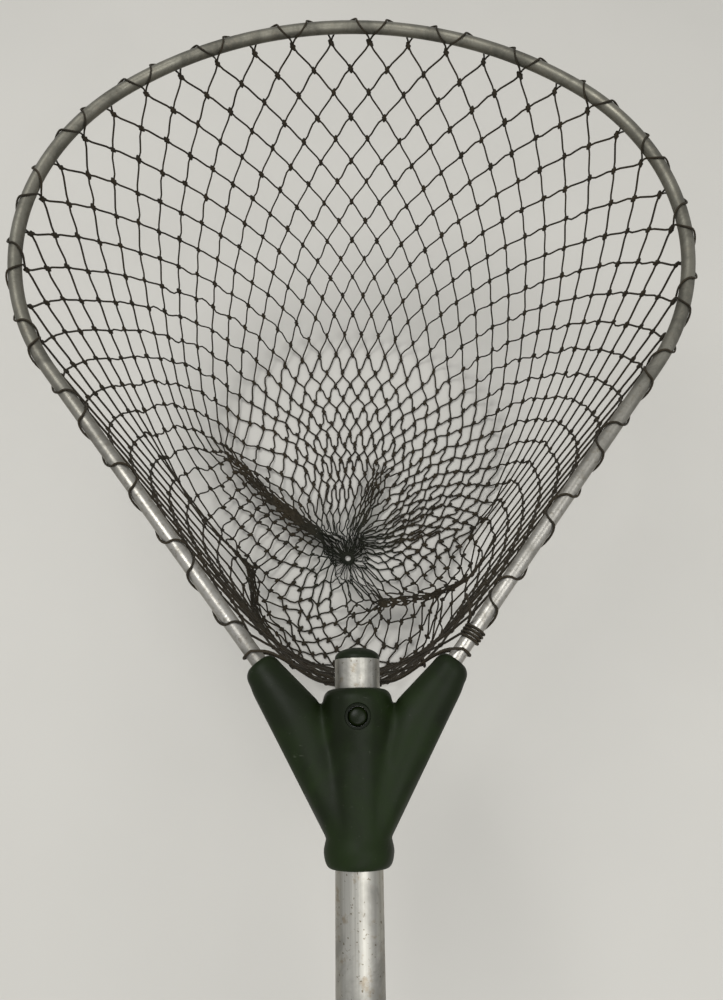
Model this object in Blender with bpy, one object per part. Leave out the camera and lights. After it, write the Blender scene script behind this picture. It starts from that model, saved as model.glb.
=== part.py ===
"""Landing net with a sliding handle: a moulded Y yoke holds a teardrop hoop with a knotted net bag."""

import math

import bmesh
import bpy
import numpy as np
from mathutils import Matrix, Vector

# Gaps between pieces
TOUCH_GAP = 0.0003
WINDING_GAP = 0.0005

# Handle: a round tube along +Y, with the middle of its grip at the origin
TUBE_D = 0.022
TUBE_WALL = 0.0012
TUBE_LENGTH = 0.5878
TUBE_PROUD = 0.0142
GRIP_LENGTH = 0.125
GRIP_D = 0.030
GRIP_COLLAR_D = 0.034
GRIP_COLLAR_LENGTH = 0.007
CAP_FLANGE = 0.004
CAP_STUB = 0.015
END_PLUG_DOME = 0.0042
END_PLUG_STUB = 0.012

# Snap button in the handle tube, and the bent leaf spring under it
BUTTON_D = 0.009
BUTTON_BELOW_COLLAR = 0.0133
BUTTON_SUNK = 0.0010
BUTTON_DOME = 0.0016
BUTTON_WELL_D = 0.0124
BUTTON_WELL_DEPTH = 0.0034
LEAF_WIDTH = 0.008
LEAF_THICKNESS = 0.0008
LEAF_LENGTH = 0.052
LEAF_OVERHANG = 0.006

# Yoke: a sleeve on the handle and two wings that end in sockets for the hoop
COLLAR_D = 0.0335
COLLAR_LENGTH = 0.018
COLLAR_ROUNDING = 0.0050
NECK_D = 0.0292
WAIST_D = 0.0304
FOOT_BULGE_D = 0.0326
FOOT_D = 0.0262
FOOT_ROUNDING = 0.0075
SLEEVE_LENGTH = 0.0793
WAIST_ABOVE_FOOT = 0.0135
SOCKET_D = 0.0165
SOCKET_DEPTH = 0.0315
SOCKET_FACE_D = 0.0102
SOCKET_DOME = 0.0068
MOUTH_X = 0.0484
MOUTH_ABOVE_COLLAR = 0.0136
WING_CORNER_X = 0.0525
WING_CORNER_ABOVE_COLLAR = 0.0008
WING_CROTCH_BELOW_COLLAR = 0.0068
WING_ROOT_HEIGHT = 0.0250

# Hoop: one round tube bent to a teardrop
HOOP_D = 0.008
HOOP_WALL = 0.001
TIP_RADIUS = 0.232
TIP_HALF_ANGLE = math.radians(39)
SHOULDER_RADIUS = 0.146
ARM_ANGLE = math.radians(37)
ARC_STEP = math.radians(4.9)

# Net bag: a diamond mesh that hangs from the hoop, meets the ground at its foot and runs in to the gather
RIM_LOOPS = 22
THROAT_LOOPS = 2
HALF_ROWS = 13
BAR = 0.0019
RIM_BAR = 0.0016
LOOP_TURN = math.radians(7)
THROAT_SPACING = 0.046
GATHER_X = -0.0066
GATHER_FROM_TIP = 0.306
GATHER_DEPTH = 0.236
BUNCH_D = 0.019
BUNCH_BAR = 0.0046
FOOT_RATIO_TIP = 0.70
FOOT_RATIO_THROAT = 0.93
FOOT_BEND = 0.030
THROAT_WALL_INWARD = 0.024

# Cords: the gather, the doubled throat cord and the winding on the right arm
TWINE_D = 0.0014
GATHER_D = 0.0124
GATHER_BAR = 0.0040
THROAT_STRANDS_APART = 0.0022
THROAT_UNDER_TUBE = 0.0012
THROAT_FROM_MOUTH = 0.0060
THROAT_DIP = 0.0140
WINDING_TURNS = 4
WINDING_FROM_MOUTH = 0.0120
WINDING_TAIL = 0.016

# Points this close are one after a Boolean
WELD = 2e-6

# Faces round a shape
ROUND_SIDES = 32
BORE_FACETS = 37
WING_SIDES = 26
HOOP_SIDES = 12
BORE_SIDES = 8

# Places that follow from the sizes above
TUBE_START = -GRIP_LENGTH / 2
TUBE_END = TUBE_START + TUBE_LENGTH
COLLAR_Y = TUBE_END - TUBE_PROUD
FOOT_Y = COLLAR_Y - SLEEVE_LENGTH
MOUTH_Y = COLLAR_Y + MOUTH_ABOVE_COLLAR
BUTTON_Y = COLLAR_Y - BUTTON_BELOW_COLLAR
TUBE_BORE = TUBE_D / 2 - TUBE_WALL
SHOULDER_X = (TIP_RADIUS - SHOULDER_RADIUS) * math.sin(TIP_HALF_ANGLE)
SHOULDER_END_X = SHOULDER_X + SHOULDER_RADIUS * math.cos(ARM_ANGLE)
ARM_LENGTH = (SHOULDER_END_X - MOUTH_X) / math.sin(ARM_ANGLE)
SHOULDER_END_Y = MOUTH_Y + ARM_LENGTH * math.cos(ARM_ANGLE)
SHOULDER_Y = SHOULDER_END_Y + SHOULDER_RADIUS * math.sin(ARM_ANGLE)
TIP_CENTRE_Y = SHOULDER_Y - (TIP_RADIUS - SHOULDER_RADIUS) * math.cos(TIP_HALF_ANGLE)
TIP_Y = TIP_CENTRE_Y + TIP_RADIUS
GATHER = Vector((GATHER_X, TIP_Y - GATHER_FROM_TIP, -GATHER_DEPTH))
LOOP_RADIUS = HOOP_D / 2 + TOUCH_GAP + RIM_BAR / 2
THROAT_LOOP_RADIUS = (THROAT_STRANDS_APART + TWINE_D + RIM_BAR) / 2 + TOUCH_GAP
THROAT_Z = -(TUBE_D / 2 + THROAT_UNDER_TUBE + (THROAT_STRANDS_APART + TWINE_D) / 2)


def new_object(name, mesh_data, colour, roughness, metallic):
    """Links an object with a Principled BSDF of its own."""
    obj = bpy.data.objects.new(name, mesh_data)
    bpy.context.scene.collection.objects.link(obj)
    material = bpy.data.materials.new(name)
    material.use_nodes = True
    shader = material.node_tree.nodes["Principled BSDF"]
    shader.inputs["Base Color"].default_value = (*colour, 1)
    shader.inputs["Roughness"].default_value = roughness
    shader.inputs["Metallic"].default_value = metallic
    material.diffuse_color = (*colour, 1)
    obj.data.materials.append(material)
    return obj


def metal(name, mesh_data):
    return new_object(name, mesh_data, (0.58, 0.57, 0.53), 0.38, 1.0)


def green_plastic(name, mesh_data):
    return new_object(name, mesh_data, (0.012, 0.020, 0.008), 0.42, 0.0)


def twine(name, mesh_data):
    return new_object(name, mesh_data, (0.022, 0.017, 0.009), 0.8, 0.0)


def finished(mesh, name, smooth_below=math.radians(38)):
    """A mesh from a bmesh, with its faces outward and its round faces smooth."""
    bmesh.ops.recalc_face_normals(mesh, faces=mesh.faces)
    if mesh.calc_volume(signed=True) < 0:
        bmesh.ops.reverse_faces(mesh, faces=mesh.faces)
    data = bpy.data.meshes.new(name)
    mesh.to_mesh(data)
    mesh.free()
    data.shade_smooth()
    data.set_sharp_from_angle(angle=smooth_below)
    return data


def turned(name, profile, sides=ROUND_SIDES, matrix=None):
    """Spins (radius, y) points round the Y axis: a closed outline, or one with both ends on the axis."""
    mesh = bmesh.new()
    points = [mesh.verts.new((radius, y, 0)) for radius, y in profile]
    edges = [mesh.edges.new(pair) for pair in zip(points, points[1:])]
    if profile[0][0] > 0:
        edges.append(mesh.edges.new((points[-1], points[0])))
    bmesh.ops.spin(
        mesh,
        geom=points + edges,
        angle=math.tau,
        steps=sides,
        axis=(0, 1, 0),
        cent=(0, 0, 0),
        use_merge=True,
    )
    bmesh.ops.remove_doubles(mesh, verts=mesh.verts, dist=1e-6)
    bmesh.ops.dissolve_degenerate(mesh, edges=mesh.edges, dist=1e-6)
    if matrix:
        mesh.transform(matrix)
    return finished(mesh, name)


def together(name, shapes):
    """One mesh of several closed shapes that lie clear of each other."""
    whole = bmesh.new()
    for shape in shapes:
        whole.from_mesh(shape)
    data = bpy.data.meshes.new(name)
    whole.to_mesh(data)
    whole.free()
    return data


def helper(name, mesh_data):
    """A shape that only cuts or joins, hidden from renders."""
    obj = bpy.data.objects.new(name, mesh_data)
    bpy.context.scene.collection.objects.link(obj)
    obj.hide_render = True
    obj.display_type = "WIRE"
    return obj


def combine(obj, tool_meshes, operation):
    """Applies exact Booleans with each tool in turn and keeps one mesh."""
    for number, tool_mesh in enumerate(tool_meshes):
        tool = helper(f"{obj.name}_tool_{number}", tool_mesh)
        modifier = obj.modifiers.new("combine", "BOOLEAN")
        modifier.operation = operation
        modifier.solver = "EXACT"
        modifier.object = tool
        graph = bpy.context.evaluated_depsgraph_get()
        result = bpy.data.meshes.new_from_object(obj.evaluated_get(graph))
        mesh = bmesh.new()
        mesh.from_mesh(result)
        bmesh.ops.remove_doubles(mesh, verts=mesh.verts, dist=WELD)
        mesh.to_mesh(result)
        mesh.free()
        obj.modifiers.clear()
        obj.data = result
        bpy.data.objects.remove(tool)
    obj.data.shade_smooth()
    obj.data.set_sharp_from_angle(angle=math.radians(38))


def along(start, direction):
    """A matrix that lays the Y axis along a direction, from a point."""
    turn = Vector((0, 1, 0)).rotation_difference(Vector(direction)).to_matrix().to_4x4()
    return Matrix.Translation(start) @ turn


def rod(name, radius, length, matrix, sides=ROUND_SIDES):
    return turned(name, [(0, 0), (radius, 0), (radius, length), (0, length)], sides, matrix)


def arc(centre, radius, start, end):
    """Points on an arc. Angles run from +Y towards +X."""
    steps = max(1, round(abs(end - start) / ARC_STEP))
    angles = np.linspace(start, end, steps + 1)
    return [(centre[0] + radius * math.sin(a), centre[1] + radius * math.cos(a)) for a in angles]


def hoop_outline():
    """The hoop's centreline from the bottom of the left socket round the tip to the right one."""
    tip = arc((0, TIP_CENTRE_Y), TIP_RADIUS, 0, TIP_HALF_ANGLE)
    shoulder = arc((SHOULDER_X, SHOULDER_Y), SHOULDER_RADIUS, TIP_HALF_ANGLE, math.pi / 2 + ARM_ANGLE)
    seat = SOCKET_DEPTH - TOUCH_GAP
    end = (MOUTH_X - seat * math.sin(ARM_ANGLE), MOUTH_Y - seat * math.cos(ARM_ANGLE))
    right = tip + shoulder[1:] + [end]
    left = [(-x, y) for x, y in reversed(right[1:])]
    return [Vector((x, y, 0)) for x, y in left + right]


def tube_mesh(name, points, radius, inner_radius):
    """A hollow tube that follows points in the XY plane, with square open ends."""
    mesh = bmesh.new()
    ends = []
    for size, sides in ((radius, HOOP_SIDES), (inner_radius, BORE_SIDES)):
        rings = []
        for number, point in enumerate(points):
            before = points[max(number - 1, 0)]
            after = points[min(number + 1, len(points) - 1)]
            first = (point - before).normalized()
            second = (after - point).normalized()
            tangent = (first + second).normalized()
            side = Vector((tangent.y, -tangent.x, 0))
            mitre = 1 / max(tangent.dot(first if first.length else second), 0.5)
            ring = []
            for step in range(sides):
                angle = math.tau * step / sides
                offset = side * (math.cos(angle) * mitre) + Vector((0, 0, math.sin(angle)))
                ring.append(mesh.verts.new(point + offset * size))
            rings.append(ring)
        for low, high in zip(rings, rings[1:]):
            for step in range(sides):
                onward = (step + 1) % sides
                mesh.faces.new((low[step], low[onward], high[onward], high[step]))
        ends.append((rings[0], rings[-1]))
    for outer, inner in zip(*ends):
        loops = [mesh.edges.get((a, b)) for ring in (outer, inner) for a, b in zip(ring, ring[1:] + ring[:1])]
        bmesh.ops.bridge_loops(mesh, edges=loops)
    return finished(mesh, name)


def cord_mesh(name, points, thickness, closed=False):
    """A round cord through points, made from a bevelled curve with filled caps."""
    curve = bpy.data.curves.new(name, "CURVE")
    curve.dimensions = "3D"
    curve.bevel_depth = thickness / 2
    curve.bevel_resolution = 1
    curve.use_fill_caps = True
    spline = curve.splines.new("POLY")
    spline.points.add(len(points) - 1)
    for target, point in zip(spline.points, points):
        target.co = (*point, 1)
    spline.use_cyclic_u = closed
    guide = helper(f"{name}_route", curve)
    graph = bpy.context.evaluated_depsgraph_get()
    shape = bpy.data.meshes.new_from_object(guide.evaluated_get(graph))
    bpy.data.objects.remove(guide)
    mesh = bmesh.new()
    mesh.from_mesh(shape)
    bmesh.ops.remove_doubles(mesh, verts=mesh.verts, dist=1e-6)
    return finished(mesh, name)


def ring_mesh(name, ring_radius, bar, matrix, around, section):
    """A ring of round bar about the Y axis."""
    mesh = bmesh.new()
    angles = [math.tau * step / section for step in range(section)]
    profile = [
        mesh.verts.new((ring_radius + bar / 2 * math.cos(a), bar / 2 * math.sin(a), 0)) for a in angles
    ]
    edges = [mesh.edges.new(pair) for pair in zip(profile, profile[1:] + profile[:1])]
    bmesh.ops.spin(
        mesh,
        geom=profile + edges,
        angle=math.tau,
        steps=around,
        axis=(0, 1, 0),
        cent=(0, 0, 0),
        use_merge=True,
    )
    bmesh.ops.remove_doubles(mesh, verts=mesh.verts, dist=1e-6)
    mesh.transform(matrix)
    return finished(mesh, name)


def handle_tube():
    """The handle's tube, open at both ends, with the hole for the snap button."""
    outer = TUBE_D / 2
    profile = [(TUBE_BORE, TUBE_START), (outer, TUBE_START), (outer, TUBE_END), (TUBE_BORE, TUBE_END)]
    tube = metal("handle_tube", turned("handle_tube", profile))
    combine(tube, [button_hole("tube_hole", TUBE_D)], "DIFFERENCE")


def button_hole(name, height):
    """A cutter for the snap button, from the handle's axis upward."""
    return rod(name, BUTTON_D / 2 + TOUCH_GAP, height, along((0, BUTTON_Y, 0), (0, 0, 1)), 24)


def tube_end_plug():
    """The domed plug that closes the handle tube above the yoke."""
    outer = TUBE_D / 2
    inner = TUBE_BORE - TOUCH_GAP
    seat = TUBE_END + TOUCH_GAP
    dome = [
        (outer * math.cos(a), seat + 0.0012 + END_PLUG_DOME * math.sin(a))
        for a in np.linspace(0, math.pi / 2, 7)[:-1]
    ]
    profile = [
        (0, TUBE_END - END_PLUG_STUB),
        (inner - 0.0008, TUBE_END - END_PLUG_STUB),
        (inner, TUBE_END - END_PLUG_STUB + 0.0015),
        (inner, seat),
        (outer, seat),
        *dome,
        (0, seat + 0.0012 + END_PLUG_DOME),
    ]
    green_plastic("tube_end_plug", turned("tube_end_plug", profile))


def grip():
    """The sleeve of the hand grip, with a collar at its front end."""
    bore = TUBE_D / 2 + TOUCH_GAP
    radius = GRIP_D / 2
    collar = GRIP_COLLAR_D / 2
    back = TUBE_START
    front = back + GRIP_LENGTH
    hollow = [
        (radius - 0.0016 * math.sin(math.pi * share), back + 0.006 + share * (GRIP_LENGTH - 0.020))
        for share in np.linspace(0, 1, 9)
    ]
    profile = [
        (bore, back),
        (radius - 0.001, back),
        (radius, back + 0.0015),
        *hollow,
        (collar - 0.0008, front - GRIP_COLLAR_LENGTH),
        (collar, front - GRIP_COLLAR_LENGTH + 0.0015),
        (collar, front - 0.0025),
        (collar - 0.002, front - 0.0006),
        (collar - 0.004, front),
        (bore, front),
    ]
    green_plastic("grip", turned("grip", profile))


def grip_cap():
    """The flat cap on the handle's butt, pushed into the tube."""
    inner = TUBE_BORE - TOUCH_GAP
    seat = TUBE_START - TOUCH_GAP
    radius = GRIP_D / 2
    profile = [
        (0, seat - CAP_FLANGE),
        (radius - 0.0015, seat - CAP_FLANGE),
        (radius, seat - CAP_FLANGE + 0.0015),
        (radius, seat),
        (inner, seat),
        (inner, seat + CAP_STUB - 0.0015),
        (inner - 0.001, seat + CAP_STUB),
        (0, seat + CAP_STUB),
    ]
    green_plastic("grip_cap", turned("grip_cap", profile))


def button_top():
    """Height of the snap button's top above the handle's axis, just below the sleeve's face."""
    return NECK_D / 2 - BUTTON_SUNK


def leaf_top():
    """Height of the leaf spring's upper face under the button."""
    return TUBE_BORE - 0.0025


def lock_button():
    """The domed snap button that stands in the holes of the tube and the yoke."""
    radius = BUTTON_D / 2
    base = leaf_top() + TOUCH_GAP
    top = button_top()
    dome = [
        (radius * math.cos(a), top - BUTTON_DOME + BUTTON_DOME * math.sin(a))
        for a in np.linspace(0, math.pi / 2, 6)[:-1]
    ]
    profile = [(0, base), (radius, base), *dome, (0, top)]
    shape = turned("lock_button", profile, 24, along((0, 0, 0), (0, 0, 1)))
    button = green_plastic("lock_button", shape)
    button.location = (0, BUTTON_Y, 0)


def button_spring():
    """A leaf bent to a V: the upper leg lifts the button, the lower one lies on the tube's inner wall."""
    half = LEAF_WIDTH / 2
    low = -math.sqrt((TUBE_BORE - TOUCH_GAP) ** 2 - half**2)
    high = leaf_top()
    bend_y = BUTTON_Y - LEAF_LENGTH
    end_y = BUTTON_Y + LEAF_OVERHANG
    bend_radius = 0.003
    middle = low + bend_radius
    outside = [
        (bend_y - bend_radius * math.sin(a), middle - bend_radius * math.cos(a))
        for a in np.linspace(0, math.radians(165), 9)
    ]
    inside_radius = bend_radius - LEAF_THICKNESS
    inside = [
        (bend_y - inside_radius * math.sin(a), middle - inside_radius * math.cos(a))
        for a in np.linspace(math.radians(165), 0, 9)
    ]
    flat_y = BUTTON_Y - BUTTON_D / 2 - 0.001
    outline = [
        (end_y, low),
        *outside,
        (flat_y, high),
        (end_y, high),
        (end_y, high - LEAF_THICKNESS),
        (flat_y, high - LEAF_THICKNESS),
        *inside,
        (end_y, low + LEAF_THICKNESS),
    ]
    mesh = bmesh.new()
    face = mesh.faces.new([mesh.verts.new((-half, y, z)) for y, z in outline])
    extruded = bmesh.ops.extrude_face_region(mesh, geom=[face])
    moved = [item for item in extruded["geom"] if isinstance(item, bmesh.types.BMVert)]
    bmesh.ops.translate(mesh, verts=moved, vec=(LEAF_WIDTH, 0, 0))
    bmesh.ops.triangulate(mesh, faces=[f for f in mesh.faces if len(f.verts) > 4])
    metal("button_spring", finished(mesh, "button_spring"))


def sleeve_mesh():
    """The yoke's sleeve: a collar with a rounded top, a neck, a waist and a rounded foot."""
    collar = COLLAR_D / 2
    neck = NECK_D / 2
    foot = FOOT_D / 2
    bulge = FOOT_BULGE_D / 2
    waist = WAIST_D / 2
    shoulder_y = COLLAR_Y - COLLAR_LENGTH
    easing = [
        (neck + (collar - neck) * eased(share, 0, 1), shoulder_y - 0.012 + 0.012 * share)
        for share in np.linspace(0, 1, 6)
    ]
    rounding = [
        (foot + (bulge - foot) * math.sin(a), FOOT_Y + FOOT_ROUNDING * (1 - math.cos(a)))
        for a in np.linspace(0, math.pi / 2, 7)
    ]
    climb = WAIST_ABOVE_FOOT - FOOT_ROUNDING
    narrowing = [
        (bulge + (waist - bulge) * eased(share, 0, 1), FOOT_Y + FOOT_ROUNDING + climb * share)
        for share in np.linspace(0, 1, 5)[1:]
    ]
    shoulder = [
        (collar - COLLAR_ROUNDING * (1 - math.cos(a)), COLLAR_Y - COLLAR_ROUNDING * (1 - math.sin(a)))
        for a in np.linspace(0, math.pi / 2, 6)
    ]
    profile = [(0, FOOT_Y), *rounding, *narrowing, *easing, *shoulder, (0, COLLAR_Y)]
    return turned("yoke_sleeve", profile)


def arm_frame(side):
    """The middle of a socket's mouth and the direction from it into the socket."""
    mouth = Vector((side * MOUTH_X, MOUTH_Y, 0))
    inward = Vector((-side * math.sin(ARM_ANGLE), -math.cos(ARM_ANGLE), 0))
    return mouth, inward


def wing_mesh(side):
    """One wing of the Y: oval sections from the domed socket mouth down to the sleeve's waist."""
    mouth, inward = arm_frame(1)
    across = Vector((math.cos(ARM_ANGLE), -math.sin(ARM_ANGLE), 0))
    radius = SOCKET_D / 2
    waist_y = FOOT_Y + WAIST_ABOVE_FOOT
    neck = mouth + inward * SOCKET_DOME
    corner = Vector((WING_CORNER_X, COLLAR_Y + WING_CORNER_ABOVE_COLLAR, 0))
    crotch = Vector((COLLAR_D / 2 + 0.0008, COLLAR_Y - WING_CROTCH_BELOW_COLLAR, 0))
    waist = Vector((WAIST_D / 2 + 0.0004, waist_y, 0))
    root = Vector((0.0, waist_y, 0))
    sections = []
    for angle in np.linspace(0, math.pi / 2, 5):
        reach = radius - (SOCKET_D - SOCKET_FACE_D) / 2 * (1 - math.sin(angle))
        middle = mouth + inward * (SOCKET_DOME * (1 - math.cos(angle)))
        sections.append((middle - across * reach, middle + across * reach, reach))
    inner = neck - across * radius
    for share in np.linspace(0.14, 1, 9):
        outer_point = corner.lerp(waist, (share - 0.14) / 0.86)
        inner_point = inner.lerp(crotch, share / 0.5) if share < 0.5 else crotch.lerp(root, share * 2 - 1)
        height = radius + (WING_ROOT_HEIGHT / 2 - radius) * share
        sections.append((inner_point, outer_point, height))
    mesh = bmesh.new()
    rings = []
    for inner_point, outer_point, height in sections:
        middle = (inner_point + outer_point) / 2
        half = (outer_point - inner_point) / 2
        ring = []
        for angle in np.linspace(0, math.tau, WING_SIDES, endpoint=False):
            point = middle + half * math.cos(angle) + Vector((0, 0, height * math.sin(angle)))
            ring.append(mesh.verts.new((point.x * side, point.y, point.z)))
        rings.append(ring)
    for low, high in zip(rings, rings[1:]):
        for step in range(WING_SIDES):
            onward = (step + 1) % WING_SIDES
            mesh.faces.new((low[step], low[onward], high[onward], high[step]))
    mesh.faces.new(rings[0])
    mesh.faces.new(rings[-1])
    return finished(mesh, f"wing_{side}")


def yoke():
    """The moulded Y: sleeve and wings joined, then bored for the handle, the hoop and the button."""
    body = green_plastic("yoke", sleeve_mesh())
    combine(body, [wing_mesh(-1), wing_mesh(1)], "UNION")
    reach = SLEEVE_LENGTH + 0.020
    start = along((0, FOOT_Y - 0.01, 0), (0, 1, 0))
    tube_bore = rod("tube_bore", TUBE_D / 2 + TOUCH_GAP, reach, start, BORE_FACETS)
    well_floor = Vector((0, BUTTON_Y, COLLAR_D / 2 - BUTTON_WELL_DEPTH))
    well = rod("button_well", BUTTON_WELL_D / 2, COLLAR_D, along(well_floor, (0, 0, 1)))
    cutters = [tube_bore, button_hole("yoke_hole", COLLAR_D), well]
    for side in (-1, 1):
        mouth, inward = arm_frame(side)
        start = mouth - inward * 0.01
        bore_radius = HOOP_D / 2 + TOUCH_GAP
        cutters.append(rod(f"hoop_bore_{side}", bore_radius, SOCKET_DEPTH + 0.01, along(start, inward), 24))
    combine(body, cutters, "DIFFERENCE")


def hoop():
    """The bent hoop tube, its ends seated in the yoke's sockets."""
    points = hoop_outline()
    metal("hoop", tube_mesh("hoop", points, HOOP_D / 2, HOOP_D / 2 - HOOP_WALL))


def rim_station(share):
    """The point and direction on the hoop's exposed centreline at a share of its length."""
    points = hoop_outline()
    for side, index in ((-1, 0), (1, -1)):
        points[index] = Vector((side * MOUTH_X, MOUTH_Y, 0))
    lengths = [0.0]
    for first, second in zip(points, points[1:]):
        lengths.append(lengths[-1] + (second - first).length)
    wanted = share * lengths[-1]
    number = max(i for i, length in enumerate(lengths[:-1]) if length <= wanted)
    step = points[number + 1] - points[number]
    return points[number] + step * ((wanted - lengths[number]) / step.length), step.normalized()


def rim_places():
    """The middle, the direction and the ring radius of every loop at the net's mouth."""
    places = []
    for number in range(RIM_LOOPS):
        point, direction = rim_station((number + 0.5) / RIM_LOOPS)
        places.append((point, direction, LOOP_RADIUS))
    for number in range(THROAT_LOOPS):
        x = THROAT_SPACING * ((THROAT_LOOPS - 1) / 2 - number)
        places.append((throat_point(x), Vector((-1, 0, 0)), THROAT_LOOP_RADIUS))
    return places


def eased(value, start, end):
    """A smooth climb from 0 at the start to 1 at the end."""
    share = min(max((value - start) / (end - start), 0), 1)
    return share * share * (3 - 2 * share)


def throat_point(x):
    """A point midway between the throat cord's strands: under the tube by the collar, level at the arms."""
    level = eased(abs(x), TUBE_D / 2 + 0.004, 0.9 * arm_x())
    arm_y = MOUTH_Y + THROAT_FROM_MOUTH * math.cos(ARM_ANGLE)
    return Vector((x, arm_y - THROAT_DIP * (1 - level), THROAT_Z * (1 - level)))


def arm_x():
    """How far from the middle the throat cord goes round each arm of the hoop."""
    return MOUTH_X + THROAT_FROM_MOUTH * math.sin(ARM_ANGLE)


def net_point(column, row, places):
    """A knot of the net, down the wall, round its foot and in to the bunch. Odd rows lie half a column on."""
    place = column + (0.5 if row % 2 else 0.0)
    count = len(places)
    low = int(place) % count
    rims = [places[i][0] - Vector((0, 0, places[i][2])) for i in (low, (low + 1) % count)]
    rim = rims[0].lerp(rims[1], place - int(place))
    tipward = (1 - math.cos(math.tau * (place + (THROAT_LOOPS + 1) / 2) / count)) / 2
    spread = math.pi / 2 - math.tau * (place - (RIM_LOOPS - 1) / 2) / count
    bunch = GATHER + Vector((math.cos(spread), math.sin(spread), 0)) * (BUNCH_D / 2)
    reach = FOOT_RATIO_THROAT + (FOOT_RATIO_TIP - FOOT_RATIO_THROAT) * eased(tipward, 0, 0.75)
    foot = GATHER.lerp(rim, reach)
    foot.z = GATHER.z
    wall = (foot - rim).length
    ground = (bunch - foot).length
    past_foot = (wall + ground) * row / (HALF_ROWS - 1) - wall
    if abs(past_foot) < FOOT_BEND:
        share = (past_foot + FOOT_BEND) / (2 * FOOT_BEND)
        point = foot + (rim - foot).normalized() * (FOOT_BEND * (1 - share) ** 2)
        point += (bunch - foot).normalized() * (FOOT_BEND * share**2)
    elif past_foot < 0:
        point = foot.lerp(rim, -past_foot / wall)
    else:
        point = foot.lerp(bunch, past_foot / ground)
    inward = Vector((GATHER.x - rim.x, GATHER.y - rim.y, 0)).normalized()
    bow = math.sin(math.pi * min(max(-past_foot / wall, 0), 1))
    return point + inward * (THROAT_WALL_INWARD * bow * (1 - eased(tipward, 0, 0.4)))


def net_bag():
    """The netting: a diamond mesh of bars, with its loops round the hoop and its bunched bottom."""
    places = rim_places()
    count = len(places)
    mesh = bmesh.new()
    rows = []
    for row in range(HALF_ROWS):
        rows.append([mesh.verts.new(net_point(column, row, places)) for column in range(count)])
    for row in range(HALF_ROWS - 2):
        shift = 1 if row % 2 else 0
        for column in range(count):
            left = rows[row + 1][(column + shift - 1) % count]
            right = rows[row + 1][(column + shift) % count]
            mesh.faces.new((rows[row][column], left, rows[row + 2][column], right))
    data = bpy.data.meshes.new("net_bag")
    mesh.to_mesh(data)
    mesh.free()
    net = twine("net_bag", data)
    bars = net.modifiers.new("bars", "WIREFRAME")
    bars.thickness = BAR
    bars.use_even_offset = False
    bars.use_boundary = True
    graph = bpy.context.evaluated_depsgraph_get()
    shape = bpy.data.meshes.new_from_object(net.evaluated_get(graph))
    net.modifiers.clear()
    net.data = shape
    rings = []
    for number, (point, direction, radius) in enumerate(places):
        turned_ring = along(point, direction) @ Matrix.Rotation(LOOP_TURN, 4, "Y")
        rings.append(ring_mesh(f"loop_{number}", radius, RIM_BAR, turned_ring, 10, 4))
    rings.append(ring_mesh("bunch", BUNCH_D / 2, BUNCH_BAR, along(GATHER, (0, 0, 1)), 20, 6))
    combine(net, [together("loops", rings)], "UNION")


def gather_cord():
    """The small ring of cord in the middle of the bunched bottom."""
    radius = (GATHER_D - GATHER_BAR) / 2
    twine("gather_cord", ring_mesh("gather_cord", radius, GATHER_BAR, along(GATHER, (0, 0, 1)), 24, 8))


def throat_cord():
    """A doubled cord across the throat, round both arms and under the handle."""
    apart = Vector((0, 0, THROAT_STRANDS_APART / 2))
    reach = arm_x()
    clear = HOOP_D / 2 + TOUCH_GAP + TWINE_D / 2
    xs = np.linspace(-reach, reach, 25)
    route = []
    for sign in (1, -1):
        strand = []
        for x in xs:
            share = eased(abs(x), 0.5 * reach, 0.88 * reach)
            lift = apart * (1 - share) + Vector((0, 0, clear)) * share
            strand.append(throat_point(x) + lift * sign)
        route += strand if sign > 0 else strand[::-1]
        turn = []
        outward = Vector((math.cos(ARM_ANGLE) * sign, -math.sin(ARM_ANGLE), 0))
        centre = throat_point(reach * sign)
        for angle in np.linspace(math.pi / 2, -math.pi / 2, 9)[1:-1]:
            up = Vector((0, 0, math.sin(angle) * sign))
            turn.append(centre + (outward * math.cos(angle) + up) * clear)
        route += turn
    twine("throat_cord", cord_mesh("throat_cord", route, TWINE_D, closed=True))


def least_gap(points, thickness, apart):
    """The least gap between parts of one cord that lie more than some points apart along it."""
    places = np.array([tuple(point) for point in points])
    least = math.inf
    for number in range(len(places) - apart):
        rest = places[number + apart :]
        least = min(least, np.linalg.norm(rest - places[number], axis=1).min())
    return least - thickness


def arm_lashing():
    """The cord wound round the right arm beside its socket, with a short tail inside the hoop."""
    mouth, inward = arm_frame(1)
    outward = -inward
    side = Vector((-math.cos(ARM_ANGLE), math.sin(ARM_ANGLE), 0))
    radius = HOOP_D / 2 + TOUCH_GAP + TWINE_D / 2
    pitch = TWINE_D + WINDING_GAP
    per_turn = 15
    route = []
    for step in range(WINDING_TURNS * per_turn + 1):
        angle = math.tau * step / per_turn
        ring = side * math.cos(angle) + Vector((0, 0, math.sin(angle)))
        centre = mouth + outward * (WINDING_FROM_MOUTH + pitch * step / per_turn)
        route.append(centre + ring * radius)
    leaving = Vector((0, 0, 1)) * 0.8 + outward * 0.25
    for step in range(1, 7):
        share = step / 6
        bend = leaving.lerp(side + outward * 0.9 - Vector((0, 0, 0.5)), share)
        route.append(route[-1] + bend.normalized() * WINDING_TAIL / 6)
    print("arm_lashing least gap to itself, mm:", round(1000 * least_gap(route, TWINE_D, per_turn // 2), 3))
    twine("arm_lashing", cord_mesh("arm_lashing", route, TWINE_D))


def build():
    for obj in list(bpy.data.objects):
        bpy.data.objects.remove(obj)
    handle_tube()
    tube_end_plug()
    grip()
    grip_cap()
    lock_button()
    button_spring()
    yoke()
    hoop()
    net_bag()
    gather_cord()
    throat_cord()
    arm_lashing()


build()
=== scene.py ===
"""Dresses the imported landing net: turned and moulded parts, a draped bag, its cords and a plain stage."""

import math

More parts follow.
